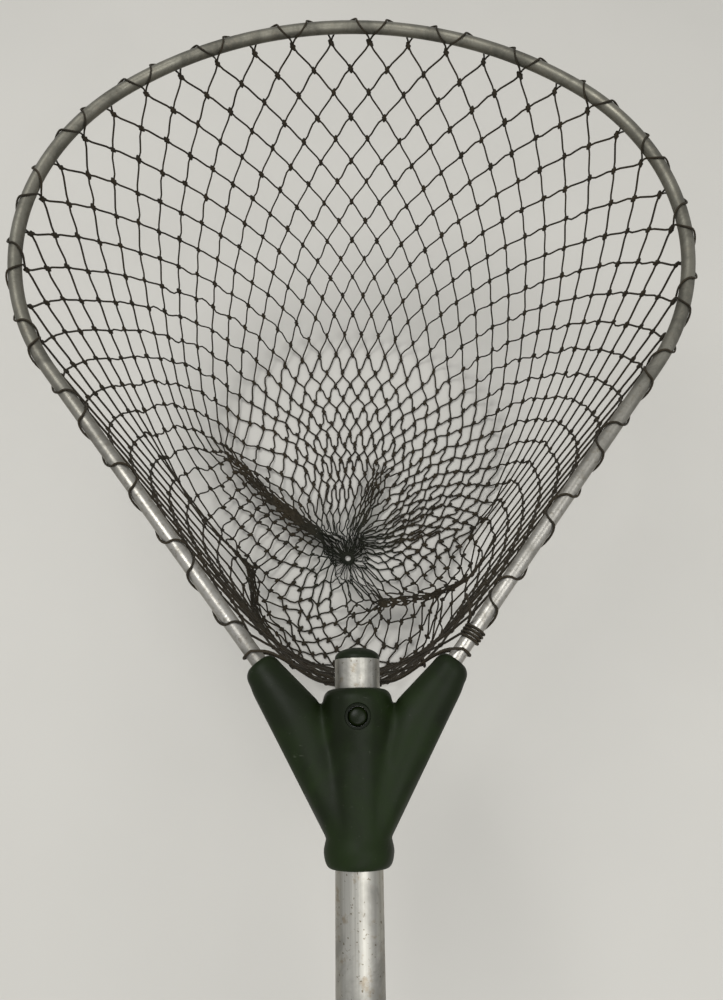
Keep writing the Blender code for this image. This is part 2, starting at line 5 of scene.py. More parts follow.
import bmesh
import bpy
import numpy as np
from bpy.props import FloatProperty, FloatVectorProperty, IntProperty, PointerProperty
from bpy.types import Operator, Panel, PropertyGroup
from mathutils import Matrix, Vector


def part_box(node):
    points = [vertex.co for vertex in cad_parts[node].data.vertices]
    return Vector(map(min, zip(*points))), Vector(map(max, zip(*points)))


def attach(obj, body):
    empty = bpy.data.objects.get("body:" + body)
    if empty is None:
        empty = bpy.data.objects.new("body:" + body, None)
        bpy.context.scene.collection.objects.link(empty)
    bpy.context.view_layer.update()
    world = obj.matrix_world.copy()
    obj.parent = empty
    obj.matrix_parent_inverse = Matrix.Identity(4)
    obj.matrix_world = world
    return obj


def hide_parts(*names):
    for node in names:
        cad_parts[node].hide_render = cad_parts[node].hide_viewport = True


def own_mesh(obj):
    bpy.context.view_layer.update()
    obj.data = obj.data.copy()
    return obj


bl_info = {
    "name": "Landing net",
    "version": (1, 0, 0),
    "blender": (4, 5, 0),
    "location": "View3D > Sidebar > Landing net",
    "description": "Builds the visible parts of a landing net round its packed frame",
    "category": "Object",
}

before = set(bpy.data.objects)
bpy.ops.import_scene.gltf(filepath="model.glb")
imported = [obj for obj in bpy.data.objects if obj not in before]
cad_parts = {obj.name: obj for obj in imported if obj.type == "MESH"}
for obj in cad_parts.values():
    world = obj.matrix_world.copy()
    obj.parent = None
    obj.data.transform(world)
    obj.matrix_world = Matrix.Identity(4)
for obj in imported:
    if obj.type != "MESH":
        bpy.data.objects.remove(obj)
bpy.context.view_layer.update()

# Sizes that more than one piece keeps to
TUBE_PROUD = 0.0142
MOUTH_ABOVE_COLLAR = 0.0136
HOOP_DIAMETER = 0.008
SOCKET_DEPTH = 0.0315
HOOP_SEAT = 0.0312
TOUCH_GAP = 0.0003
BUTTON_HOLE_RADIUS = 0.0048
CORD_DIAMETER = 0.0014
SMOOTH_BELOW = math.radians(35)
SAME_PLACE = 1e-7

# Places that the frame gives
TUBE_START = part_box("handle_tube")[0].y
TUBE_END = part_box("handle_tube")[1].y
COLLAR_Y = TUBE_END - TUBE_PROUD
MOUTH_Y = COLLAR_Y + MOUTH_ABOVE_COLLAR
FOOT_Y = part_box("yoke")[0].y
BUTTON_Y = (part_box("lock_button")[0].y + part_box("lock_button")[1].y) / 2
TIP_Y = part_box("hoop")[1].y - HOOP_DIAMETER / 2
FLOOR_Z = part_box("net_bag")[0].z
GATHER = (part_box("gather_cord")[0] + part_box("gather_cord")[1]) / 2


def length_setting(name, description, default):
    return FloatProperty(name=name, description=description, default=default, unit="LENGTH")


def angle_setting(name, description, degrees):
    return FloatProperty(name=name, description=description, default=math.radians(degrees), subtype="ANGLE")


def colour_setting(name, description, default):
    return FloatVectorProperty(
        name=name, description=description, default=default, subtype="COLOR", min=0, max=1
    )


class TubeSettings(PropertyGroup):
    """Sizes and colours of the handle's tube and the hoop."""

    handle_diameter: length_setting("Handle diameter", "Outside of the handle's tube", 0.022)
    handle_wall: length_setting("Handle wall", "Thickness of the handle's tube", 0.0012)
    hoop_diameter: length_setting("Hoop diameter", "Outside of the hoop's tube", HOOP_DIAMETER)
    tip_radius: length_setting("Tip radius", "Bend of the hoop at its tip", 0.232)
    tip_half_angle: angle_setting("Tip half angle", "Half of the tip's bend", 39)
    shoulder_radius: length_setting("Shoulder radius", "Bend of the hoop at its shoulders", 0.146)
    arm_angle: angle_setting("Arm angle", "Lean of the hoop's straight arms", 37)
    handle_colour: colour_setting("Handle colour", "Drawn aluminium of the handle", (0.335, 0.325, 0.290))
    hoop_colour: colour_setting("Hoop colour", "Weathered aluminium of the hoop", (0.140, 0.134, 0.108))


class YokeSettings(PropertyGroup):
    """Sizes and colours of the moulded parts."""

    collar_diameter: length_setting("Collar diameter", "Drum at the top of the sleeve", 0.0335)
    collar_length: length_setting("Collar length", "Length of the drum", 0.018)
    neck_diameter: length_setting("Neck diameter", "Sleeve between the wings", 0.0292)
    foot_diameter: length_setting("Foot diameter", "Bulge at the sleeve's foot", 0.0326)
    mouth_x: length_setting("Mouth offset", "Middle of a socket's mouth from the handle's axis", 0.0484)
    socket_diameter: length_setting("Socket diameter", "Outside of a socket's mouth", 0.0165)
    plastic_colour: colour_setting("Plastic colour", "Green of the moulded parts", (0.0062, 0.0104, 0.0022))


class NettingSettings(PropertyGroup):
    """Sizes and colours of the knotted bag."""

    hoop_loops: IntProperty(name="Hoop loops", description="Meshes hung on the hoop", default=44, min=12)
    throat_loops: IntProperty(
        name="Throat loops", description="Meshes hung on the throat cord", default=4, min=2
    )
    half_rows: IntProperty(
        name="Half rows", description="Rows of knots from the rim to the gather", default=31, min=8
    )
    bar: length_setting("Bar", "Twine from knot to knot", 0.020)
    twine: length_setting("Twine", "Thickness of the twine", 0.0013)
    knot: length_setting("Knot", "Thickness of a knot", 0.0031)
    twine_colour: colour_setting("Twine colour", "Dark olive-brown nylon", (0.0175, 0.0132, 0.0060))


class StageSettings(PropertyGroup):
    """The camera and the floor."""

    lens: FloatProperty(name="Lens", description="Focal length in millimetres", default=27.0)
    floor_colour: colour_setting("Floor colour", "Plain pale floor", (0.56, 0.545, 0.50))


# Finishes


class Nodes:
    """Short calls that add and join the nodes of a tree."""

    def __init__(self, tree):
        self.tree = tree

    def add(self, kind, inputs=(), **values):
        node = self.tree.nodes.new(kind)
        for key, value in values.items():
            setattr(node, key, value)
        for key, value in dict(inputs).items():
            self.feed(node.inputs[key], value)
        return node

    def feed(self, socket, value):
        if isinstance(value, bpy.types.NodeSocket):
            self.tree.links.new(value, socket)
        else:
            socket.default_value = value


class Finish(Nodes):
    """A material with a Principled shader and short calls for the patterns that feed it."""

    def __init__(self, name):
        self.material = bpy.data.materials.new(name)
        self.material.use_nodes = True
        super().__init__(self.material.node_tree)
        self.shader = self.tree.nodes["Principled BSDF"]
        coordinates = self.add("ShaderNodeTexCoord").outputs
        self.place = coordinates["Object"]
        self.cord = coordinates["UV"]

    def scaled(self, scale):
        return self.add("ShaderNodeMapping", {"Vector": self.place, "Scale": scale}).outputs["Vector"]

    def noise(self, scale, detail=3.0, roughness=0.55, place=None, distortion=0.0):
        inputs = {
            "Vector": place or self.place,
            "Scale": scale,
            "Detail": detail,
            "Roughness": roughness,
            "Distortion": distortion,
        }
        return self.add("ShaderNodeTexNoise", inputs).outputs["Fac"]

    def steps(self, value, low, high, start=0.0, end=1.0):
        """The value remapped from low..high to start..end, held at both ends."""
        inputs = {"Value": value, "From Min": low, "From Max": high, "To Min": start, "To Max": end}
        return self.add("ShaderNodeMapRange", inputs, interpolation_type="SMOOTHSTEP").outputs["Result"]

    def mix(self, share, first, second):
        node = self.add("ShaderNodeMix", {0: share}, data_type="RGBA")
        for socket, value in ((node.inputs[6], first), (node.inputs[7], second)):
            self.feed(socket, value if isinstance(value, bpy.types.NodeSocket) else (*value, 1))
        return node.outputs[2]

    def over(self, base, value, low, high, most, colour):
        """The base with a colour laid over it, more as the value climbs from low to high."""
        return self.mix(self.steps(value, low, high, 0, most), base, colour)

    def math(self, operation, first, second=0.5):
        return self.add("ShaderNodeMath", {0: first, 1: second}, operation=operation).outputs[0]

    def bump(self, height, distance, strength=1.0, before=None):
        inputs = {"Height": height, "Distance": distance, "Strength": strength}
        if before:
            inputs["Normal"] = before
        return self.add("ShaderNodeBump", inputs).outputs["Normal"]

    def shade(self, **sockets):
        for key, value in sockets.items():
            self.feed(self.shader.inputs[key.replace("_", " ")], value)
        return self.material


def times(colour, factor):
    return tuple(min(1.0, c * factor) for c in colour)


def drawn_aluminium():
    """Satin tube with draw lines, hand smudges, and brown grime and specks."""
    colour = tuple(bpy.context.scene.net_tubes.handle_colour)
    brown = (0.19, 0.145, 0.085)
    finish = Finish("drawn_aluminium")
    lines = finish.noise(1.0, 4, 0.6, finish.scaled((900, 9, 900)))
    smudge = finish.noise(34, 5, 0.62, distortion=0.7)
    grime = finish.noise(150, 4, 0.6)
    specks = finish.noise(620, 2, 0.5)
    base = finish.mix(finish.steps(lines, 0.3, 0.7), times(colour, 0.88), times(colour, 1.12))
    base = finish.over(base, smudge, 0.42, 0.62, 1, times(colour, 0.70))
    base = finish.over(base, grime, 0.56, 0.70, 0.60, brown)
    base = finish.over(base, specks, 0.66, 0.72, 0.85, times(brown, 0.5))
    rough = finish.steps(smudge, 0.35, 0.7, 0.36, 0.52)
    rough = finish.math("ADD", rough, finish.steps(lines, 0.2, 0.8, -0.03, 0.05))
    normal = finish.bump(grime, 0.00006, before=finish.bump(lines, 0.00004))
    return finish.shade(Metallic=1.0, Base_Color=base, Roughness=rough, Normal=normal)


def weathered_aluminium():
    """Dull hoop tube: grey oxide in blotches, with a painted highlight that brightens it along the arms."""
    colour = tuple(bpy.context.scene.net_tubes.hoop_colour)
    finish = Finish("weathered_aluminium")
    blotch = finish.noise(46, 6, 0.65, distortion=0.5)
    fine = finish.noise(420, 3, 0.6)
    pits = finish.noise(900, 2, 0.5)
    height = finish.add("ShaderNodeSeparateXYZ", {"Vector": finish.place}).outputs["Y"]
    # Painted highlight: the base turns brighter along the arms near the sockets, and the roughness drops
    # there a little.
    painted_arm_highlight = finish.steps(height, MOUTH_Y + 0.02, MOUTH_Y + 0.20, 1, 0)
    dull = finish.mix(finish.steps(blotch, 0.35, 0.68), times(colour, 1.15), times(colour, 0.62))
    painted_bright_arm = finish.mix(finish.steps(blotch, 0.42, 0.72), (0.335, 0.322, 0.292), (0.200, 0.192, 0.170))
    base = finish.mix(painted_arm_highlight, dull, painted_bright_arm)
    base = finish.over(base, fine, 0.52, 0.70, 0.6, (0.15, 0.135, 0.105))
    base = finish.over(base, pits, 0.66, 0.74, 0.7, (0.07, 0.06, 0.045))
    rough = finish.steps(blotch, 0.3, 0.75, 0.38, 0.58)
    rough = finish.math("SUBTRACT", rough, finish.math("MULTIPLY", painted_arm_highlight, 0.10))
    normal = finish.bump(pits, 0.00006, before=finish.bump(fine, 0.00008))
    return finish.shade(Metallic=0.85, Base_Color=base, Roughness=rough, Normal=normal)


def moulded_green(name="moulded_green", rough_low=0.42, rough_high=0.60):
    """Dark green moulded plastic: slight colour drift, a fine skin, handling haze and a few scuffs."""
    colour = tuple(bpy.context.scene.net_moulded.plastic_colour)
    lighter = tuple(part * more for part, more in zip(colour, (1.25, 1.5, 1.1)))
    finish = Finish(name)
    drift = finish.noise(28, 4, 0.6, distortion=0.4)
    skin = finish.noise(1500, 2, 0.5)
    scuff = finish.noise(1.0, 3, 0.7, finish.scaled((90, 260, 140)), distortion=1.5)
    dust = finish.noise(700, 3, 0.65)
    base = finish.mix(finish.steps(drift, 0.35, 0.7), times(colour, 0.70), lighter)
    base = finish.over(base, scuff, 0.66, 0.76, 0.35, (0.075, 0.085, 0.06))
    base = finish.over(base, dust, 0.68, 0.78, 0.30, (0.11, 0.11, 0.09))
    rough = finish.steps(drift, 0.3, 0.75, rough_low, rough_high)
    rough = finish.math("ADD", rough, finish.steps(scuff, 0.6, 0.75, 0, 0.12))
    normal = finish.bump(drift, 0.0009, 0.35, before=finish.bump(skin, 0.00003))
    return finish.shade(Specular_IOR_Level=0.13, Base_Color=base, Roughness=rough, Normal=normal)


def twisted_twine(name, turns, darker_near_gather=False):
    """Laid nylon: strands that wind along the UV map, with painted shade in their grooves, painted highlight
    on their crowns, and paler fibres. The third argument darkens it towards the gather.
    """
    colour = tuple(bpy.context.scene.net_bag.twine_colour)
    finish = Finish(name)
    cord = finish.add("ShaderNodeSeparateXYZ", {"Vector": finish.cord}).outputs
    lay = finish.math("ADD", finish.math("MULTIPLY", cord["X"], turns), cord["Y"])
    wave = finish.math("SINE", finish.math("MULTIPLY", lay, math.tau * 3))
    strand = finish.steps(wave, -1, 1)
    drift = finish.noise(52, 4, 0.6)
    fibre = finish.noise(2600, 2, 0.6)
    # Painted shade and highlight: the base runs from dark in the grooves between strands to light on their
    # crowns, on the same lay as the strand bump.
    base = finish.mix(strand, times(colour, 0.55), times(colour, 1.35))
    base = finish.over(base, drift, 0.40, 0.66, 0.55, (0.0345, 0.02415, 0.01035))
    base = finish.over(base, fibre, 0.60, 0.74, 0.35, (0.085, 0.070, 0.042))
    # Darker towards the gather: within a few centimetres of it the colour turns a darker green-brown.
    if darker_near_gather:
        away = finish.add("ShaderNodeVectorMath", {0: finish.place, 1: tuple(GATHER)}, operation="DISTANCE")
        gather_darkening = finish.steps(away.outputs["Value"], 0.014, 0.062, 0.75, 0)
        base = finish.mix(gather_darkening, base, (0.010, 0.0150, 0.0085))
    rough = finish.steps(fibre, 0.3, 0.7, 0.52, 0.74)
    normal = finish.bump(fibre, 0.00005, before=finish.bump(strand, 0.00022))
    return finish.shade(Specular_IOR_Level=0.25, Base_Color=base, Roughness=rough, Normal=normal)


def blued_steel():
    """Bare spring strip with a grey-blue cast and fine grinding."""
    finish = Finish("blued_steel")
    grind = finish.noise(1.0, 4, 0.6, finish.scaled((1400, 60, 1400)))
    tint = finish.noise(90, 3, 0.5)
    base = finish.mix(finish.steps(tint, 0.4, 0.65), (0.30, 0.31, 0.34), (0.36, 0.33, 0.29))
    base = finish.over(base, grind, 0.35, 0.7, 0.4, (0.22, 0.22, 0.23))
    rough = finish.steps(grind, 0.3, 0.7, 0.26, 0.42)
    return finish.shade(Metallic=1.0, Base_Color=base, Roughness=rough, Normal=finish.bump(grind, 0.00003))


def floor_finish():
    """Plain pale floor with the faintest mottling."""
    colour = tuple(bpy.context.scene.net_stage.floor_colour)
    finish = Finish("plain_floor")
    cloud = finish.noise(7, 3, 0.5)
    base = finish.mix(finish.steps(cloud, 0.3, 0.7), times(colour, 0.985), times(colour, 1.01))
    return finish.shade(Base_Color=base, Roughness=0.62)


# Shapes


def linked(name, data):
    """A new object in the scene."""
    obj = bpy.data.objects.new(name, data)
    bpy.context.scene.collection.objects.link(obj)
    return obj


def smoothed(data):
    """The mesh with its round faces smooth and its corners sharp."""
    data.shade_smooth()
    data.set_sharp_from_angle(angle=SMOOTH_BELOW)
    return data


def as_data(mesh, name):
    """Mesh data from a bmesh, which is freed."""
    data = bpy.data.meshes.new(name)
    mesh.to_mesh(data)
    mesh.free()
    return data


def closed_up(mesh, name):
    """A mesh from a bmesh with doubles merged, its faces outward and its round faces smooth."""
    bmesh.ops.remove_doubles(mesh, verts=mesh.verts, dist=SAME_PLACE)
    bmesh.ops.recalc_face_normals(mesh, faces=mesh.faces)
    if mesh.calc_volume(signed=True) < 0:
        bmesh.ops.reverse_faces(mesh, faces=mesh.faces)
    return smoothed(as_data(mesh, name))


def piece(name, data, finish, body, slot, *nodes):
    """Links a finished piece, which rides on a body and stands for frame nodes."""
    obj = linked(name, data)
    obj.data.materials.clear()
    obj.data.materials.append(finish)
    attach(obj, body)
    if nodes:
        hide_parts(*nodes)
    return obj


def turned(profile, sides, turn=None):
    """A bmesh spun from (radius, y) points about the Y axis."""
    mesh = bmesh.new()
    points = [mesh.verts.new((radius, y, 0)) for radius, y in profile]
    edges = [mesh.edges.new(pair) for pair in zip(points, points[1:])]
    if profile[0][0] > 0:
        edges.append(mesh.edges.new((points[-1], points[0])))
    bmesh.ops.spin(
        mesh, geom=points + edges, angle=math.tau, steps=sides, axis=(0, 1, 0), cent=(0, 0, 0), use_merge=True
    )
    bmesh.ops.remove_doubles(mesh, verts=mesh.verts, dist=SAME_PLACE)
    if turn:
        bmesh.ops.transform(mesh, matrix=turn, verts=mesh.verts)
    return mesh


def rod(radius, low, high):
    """The profile of a plain rod from one place on its axis to another."""
    return [(0, low), (radius, low), (radius, high), (0, high)]


def rounded(centre, size, start, end, count):
    """(radius, y) points on an ellipse. Angles run from +radius towards +Y."""
    return [
        (centre[0] + size[0] * math.cos(a), centre[1] + size[1] * math.sin(a))
        for a in np.linspace(math.radians(start), math.radians(end), count)
    ]


def along(start, direction):
    """A matrix that lays the Y axis along a direction, from a point."""
    turn = Vector((0, 1, 0)).rotation_difference(Vector(direction)).to_matrix().to_4x4()
    return Matrix.Translation(start) @ turn


def finished(obj):
    """An object's mesh as its modifiers or its bevel leave it. The object goes."""
    graph = bpy.context.evaluated_depsgraph_get()
    data = bpy.data.meshes.new_from_object(obj.evaluated_get(graph))
    bpy.data.objects.remove(obj)
    return data


def with_modifier(data, kind, weights=None, **values):
    """The mesh after one modifier, which may act by a weight for each vertex."""
    obj = linked("work", data)
    modifier = obj.modifiers.new(kind, kind)
    for key, value in values.items():
        setattr(modifier, key, value)
    if weights:
        group = obj.vertex_groups.new(name="weights")
        for index, weight in weights.items():
            group.add([index], weight, "REPLACE")
        modifier.vertex_group = group.name
    return finished(obj)


def cut(data, cutters):
    """The mesh less its cutters."""
    for mesh in cutters:
        tool = linked("cutter", closed_up(mesh, "cutter"))
        data = with_modifier(data, "BOOLEAN", operation="DIFFERENCE", solver="EXACT", object=tool)
        bpy.data.objects.remove(tool)
    return smoothed(data)


def strands(name, routes, thickness, closed=False, resolution=1):
    """Round twine along routes of points. A fourth value at a point is its share of the thickness."""
    curve = bpy.data.curves.new(name, "CURVE")
    curve.dimensions = "3D"
    curve.bevel_depth = thickness / 2
    curve.bevel_resolution = resolution
    curve.use_fill_caps = not closed
    for route in routes:
        route = np.asarray(route, float)
        spline = curve.splines.new("POLY")
        spline.points.add(len(route) - 1)
        spline.points.foreach_set("co", np.c_[route[:, :3], np.ones(len(route))].ravel())
        if route.shape[1] == 4:
            spline.points.foreach_set("radius", route[:, 3])
        spline.use_cyclic_u = closed
    data = finished(linked(name, curve))
    data.shade_smooth()
    return data


def eased(value):
    """A smooth climb from 0 to 1, held at both ends, for numbers and arrays."""
    share = np.clip(value, 0.0, 1.0)
    return share * share * (3 - 2 * share)


# The hoop's line


def arm_frame(side):
    """The middle of a socket's mouth and the direction from it into the socket."""
    tubes, moulded = bpy.context.scene.net_tubes, bpy.context.scene.net_moulded
    mouth = Vector((side * moulded.mouth_x, MOUTH_Y, 0))
    inward = Vector((-side * math.sin(tubes.arm_angle), -math.cos(tubes.arm_angle), 0))
    return mouth, inward


def hoop_line(seat=0.0):
    """The hoop's centreline from the left mouth round the tip to the right, with a seat in each socket."""
    tubes, moulded = bpy.context.scene.net_tubes, bpy.context.scene.net_moulded
    tip, shoulder, lean = tubes.tip_radius, tubes.shoulder_radius, tubes.arm_angle
    centre_y = TIP_Y - tip
    shoulder_x = (tip - shoulder) * math.sin(tubes.tip_half_angle)
    shoulder_y = centre_y + (tip - shoulder) * math.cos(tubes.tip_half_angle)
    bends = (
        (0, centre_y, tip, np.linspace(0, tubes.tip_half_angle, 30)),
        (shoulder_x, shoulder_y, shoulder, np.linspace(tubes.tip_half_angle, math.pi / 2 + lean, 60)[1:]),
    )
    right = [(x + bend * math.sin(a), y + bend * math.cos(a)) for x, y, bend, angles in bends for a in angles]
    right.append((moulded.mouth_x - seat * math.sin(lean), MOUTH_Y - seat * math.cos(lean)))
    left = [(-x, y) for x, y in right[:0:-1]]
    return np.array([(x, y, 0.0) for x, y in left + right])


def stations(line, distances):
    """Points and directions at distances along a line."""
    steps = np.diff(line, axis=0)
    lengths = np.linalg.norm(steps, axis=1)
    travelled = np.r_[0, np.cumsum(lengths)]
    places, directions = [], []
    for distance in distances:
        number = int(np.clip(np.searchsorted(travelled, distance, side="right") - 1, 0, len(lengths) - 1))
        direction = steps[number] / lengths[number]
        places.append(line[number] + direction * (distance - travelled[number]))
        directions.append(direction)
    return np.array(places), np.array(directions)


# The drape of the bag, in metres. Knots are points, and the bars between them may go slack. A bar that is too
# long is drawn in at each turn, but on the taut upper wall some are left up to 17% longer than they should be

RIM_END = 0.016
RIM_INWARD = 0.0035
RIM_BELOW = 0.0085
THROAT_HALF = 0.033
THROAT_FROM_MOUTH = 0.0060
THROAT_DIP = 0.0140
THROAT_BELOW = 0.0140
THROAT_LEVEL_HALF = 0.015
THROAT_KNOT_BELOW = 0.0065
FOOT_BEND = 0.034
FOOT_BEND_SAVING = 0.23
WALL_STEP = 0.0174
WALL_SAG = 0.0120
WIDE_ROWS = 7.5
WIDE_ROWS_MORE_AT_TIP = 6
NARROWING_ROWS = 4
LAST_STEP = 0.0155
LAST_STEP_SPREAD = 0.0040
GATHER_RING = 0.0032
FOOT_REACH_TIP = 0.70
FOOT_REACH_THROAT = 0.94
LAID_ABOVE_FLOOR = 0.0028
TWINE_ABOVE_FLOOR = 0.0009

# How knots move at each step, in metres and shares
FALL = 0.00035
SPEED_KEPT = 0.93
FASTEST = 0.003
FRICTION = 0.9
TURNS = 8
HELD_ANYWHERE = 0.03
HELD_IN_FOLDS = 0.45
EVENED_OUT = 0.04
KNOT_ROOM = 0.005
SHORTEST_BAR = 0.45
KNOT_LOWEST = 0.0016
KNOT_ON_FLOOR = 0.0022

# Folds on the floor: places from the gather's side outward, half width, share of the spread kept, lift
LEFT_RIDGE = ((-0.014, 0.640), (-0.038, 0.656), (-0.072, 0.683), (-0.103, 0.717), (-0.124, 0.738))
RIGHT_RIDGE = ((0.022, 0.592), (0.060, 0.597), (0.087, 0.606), (0.106, 0.614))
LEFT_FOOT = ((-0.141, 0.665), (-0.107, 0.641), (-0.085, 0.622), (-0.081, 0.600), (-0.081, 0.573))
FOLDS = (
    (LEFT_RIDGE, 0.046, 0.20, 0.016),
    (RIGHT_RIDGE, 0.046, 0.14, 0.022),
    (LEFT_FOOT, 0.034, 0.18, 0.014),
    (((-0.006, 0.612), (-0.005, 0.585), (-0.005, 0.560)), 0.018, 0.40, 0.008),
    (((0.0, 0.650), (0.010, 0.680), (0.024, 0.715)), 0.024, 0.50, 0.008),
)
FOLD_TOP = 0.07
FOLD_FADE = 0.05


def rim_knots():
    """The top row of knots: below the hoop, then across the throat from right to left."""
    bag = bpy.context.scene.net_bag
    line = hoop_line()
    total = np.linalg.norm(np.diff(line, axis=0), axis=1).sum()
    places, directions = stations(line, np.linspace(RIM_END, total - RIM_END, bag.hoop_loops))
    inward = np.c_[directions[:, 1], -directions[:, 0], np.zeros(len(directions))]
    hung = places + inward * RIM_INWARD - np.array([0, 0, RIM_BELOW])
    xs = np.linspace(THROAT_HALF, -THROAT_HALF, bag.throat_loops)
    throat = np.array([throat_line(x) - [0, 0, THROAT_KNOT_BELOW] for x in xs])
    return np.vstack([hung, throat])


def knots_round(row, column, columns):
    """The two knots of the next row that hang from a knot."""
    return (column, (column - 1) % columns) if row % 2 == 0 else (column, (column + 1) % columns)


def bar_groups(rows, columns):
    """Bars as pairs of knot numbers, in four groups in which no knot is used twice."""
    groups = []
    for parity in (0, 1):
        for kind in (0, 1):
            pairs = [
                (row * columns + column, (row + 1) * columns + knots_round(row, column, columns)[kind])
                for row in range(parity, rows - 1, 2)
                for column in range(columns)
            ]
            groups.append(np.array(pairs).T)
    return groups


def row_distances(length, tipward, last, rows):
    """How far down each row lies: wide steps on the wall, most at the tip, then narrow ones and the last."""
    steps = np.arange(rows - 2)
    wide = 1 - eased((steps - WIDE_ROWS - WIDE_ROWS_MORE_AT_TIP * tipward) / NARROWING_ROWS)
    drawn = length - FOOT_BEND_SAVING * FOOT_BEND
    narrow = (drawn - last - WALL_STEP * wide.sum()) / (len(steps) - wide.sum())
    distances = np.r_[0, np.cumsum(narrow + (WALL_STEP - narrow) * wide), drawn]
    return distances * length / drawn


def nearest_on(line, places):
    """How far places on the floor lie from a line, with its nearest point and the share along it."""
    line = np.array(line)
    lengths = np.linalg.norm(np.diff(line, axis=0), axis=1)
    far = np.full(places.shape[:-1], np.inf)
    near = np.zeros_like(places)
    share = np.zeros_like(far)
    for number, (start, end) in enumerate(zip(line, line[1:])):
        part = np.clip((places - start) @ (end - start) / lengths[number] ** 2, 0, 1)
        point = start + part[..., None] * (end - start)
        distance = np.linalg.norm(places - point, axis=-1)
        closer = distance < far
        far = np.where(closer, distance, far)
        near = np.where(closer[..., None], point, near)
        share = np.where(closer, (lengths[:number].sum() + part * lengths[number]) / lengths.sum(), share)
    return far, near, share


def first_lay(rim, rows):
    """Knots laid down the wall, round its foot and over the floor to the gather, and drawn into the folds.

    Returns the knots and how firmly each is held where it was laid."""
    bag = bpy.context.scene.net_bag
    columns = len(rim)
    gather = np.array(GATHER)[:2]
    floor = FLOOR_Z + LAID_ABOVE_FLOOR
    throat_middle = (bag.throat_loops + 1) / 2
    knots = np.zeros((rows, columns, 3))
    for half_column in range(2 * columns):
        column, place = half_column // 2, half_column / 2
        top = rim[column] * (1 - place % 1) + rim[(column + 1) % columns] * (place % 1)
        tipward = (1 - math.cos(math.tau * (place + throat_middle) / columns)) / 2
        reach = FOOT_REACH_TIP + (FOOT_REACH_THROAT - FOOT_REACH_TIP) * (1 - eased((tipward - 0.01) / 0.22))
        angle = math.pi / 2 - math.tau * (place - (bag.hoop_loops - 1) / 2) / columns
        foot = np.array([*(gather + (top[:2] - gather) * reach), floor])
        end = np.array([*(gather + GATHER_RING * np.array([math.cos(angle), math.sin(angle)])), floor])
        wall, ground = np.linalg.norm(top - foot), np.linalg.norm(end - foot)
        upward, inward = (top - foot) / wall, (end - foot) / ground
        outward = upward * inward.dot(upward) - inward
        outward *= WALL_SAG * tipward / np.linalg.norm(outward)
        last = LAST_STEP + LAST_STEP_SPREAD * scatter(half_column, 6)
        for row, distance in enumerate(row_distances(wall + ground, tipward, last, rows)):
            if row % 2 != half_column % 2:
                continue
            past = distance - wall
            if abs(past) < FOOT_BEND:
                share = (past + FOOT_BEND) / (2 * FOOT_BEND)
                knots[row, column] = foot + FOOT_BEND * (upward * (1 - share) ** 2 + inward * share**2)
            else:
                knots[row, column] = foot + (inward * past if past > 0 else -upward * past)
            knots[row, column] += outward * math.sin(math.pi * np.clip(-past / wall, 0, 1))
    held = np.zeros((rows, columns))
    for line, half, kept, lift in FOLDS:
        far, near, share = nearest_on(line, knots[..., :2])
        drawn = (1 - eased((far / half - 0.3) / 0.7)) * eased((1.02 - share) / 0.15)
        drawn = drawn * eased((FLOOR_Z + FOLD_TOP - knots[..., 2]) / FOLD_FADE)
        drawn[-2] *= 0.3
        drawn[-1] = 0
        knots[..., :2] += (near - knots[..., :2]) * ((1 - kept) * drawn)[..., None]
        knots[..., 2] += lift * drawn**2
        held = np.maximum(held, HELD_IN_FOLDS * drawn)
    return knots, held


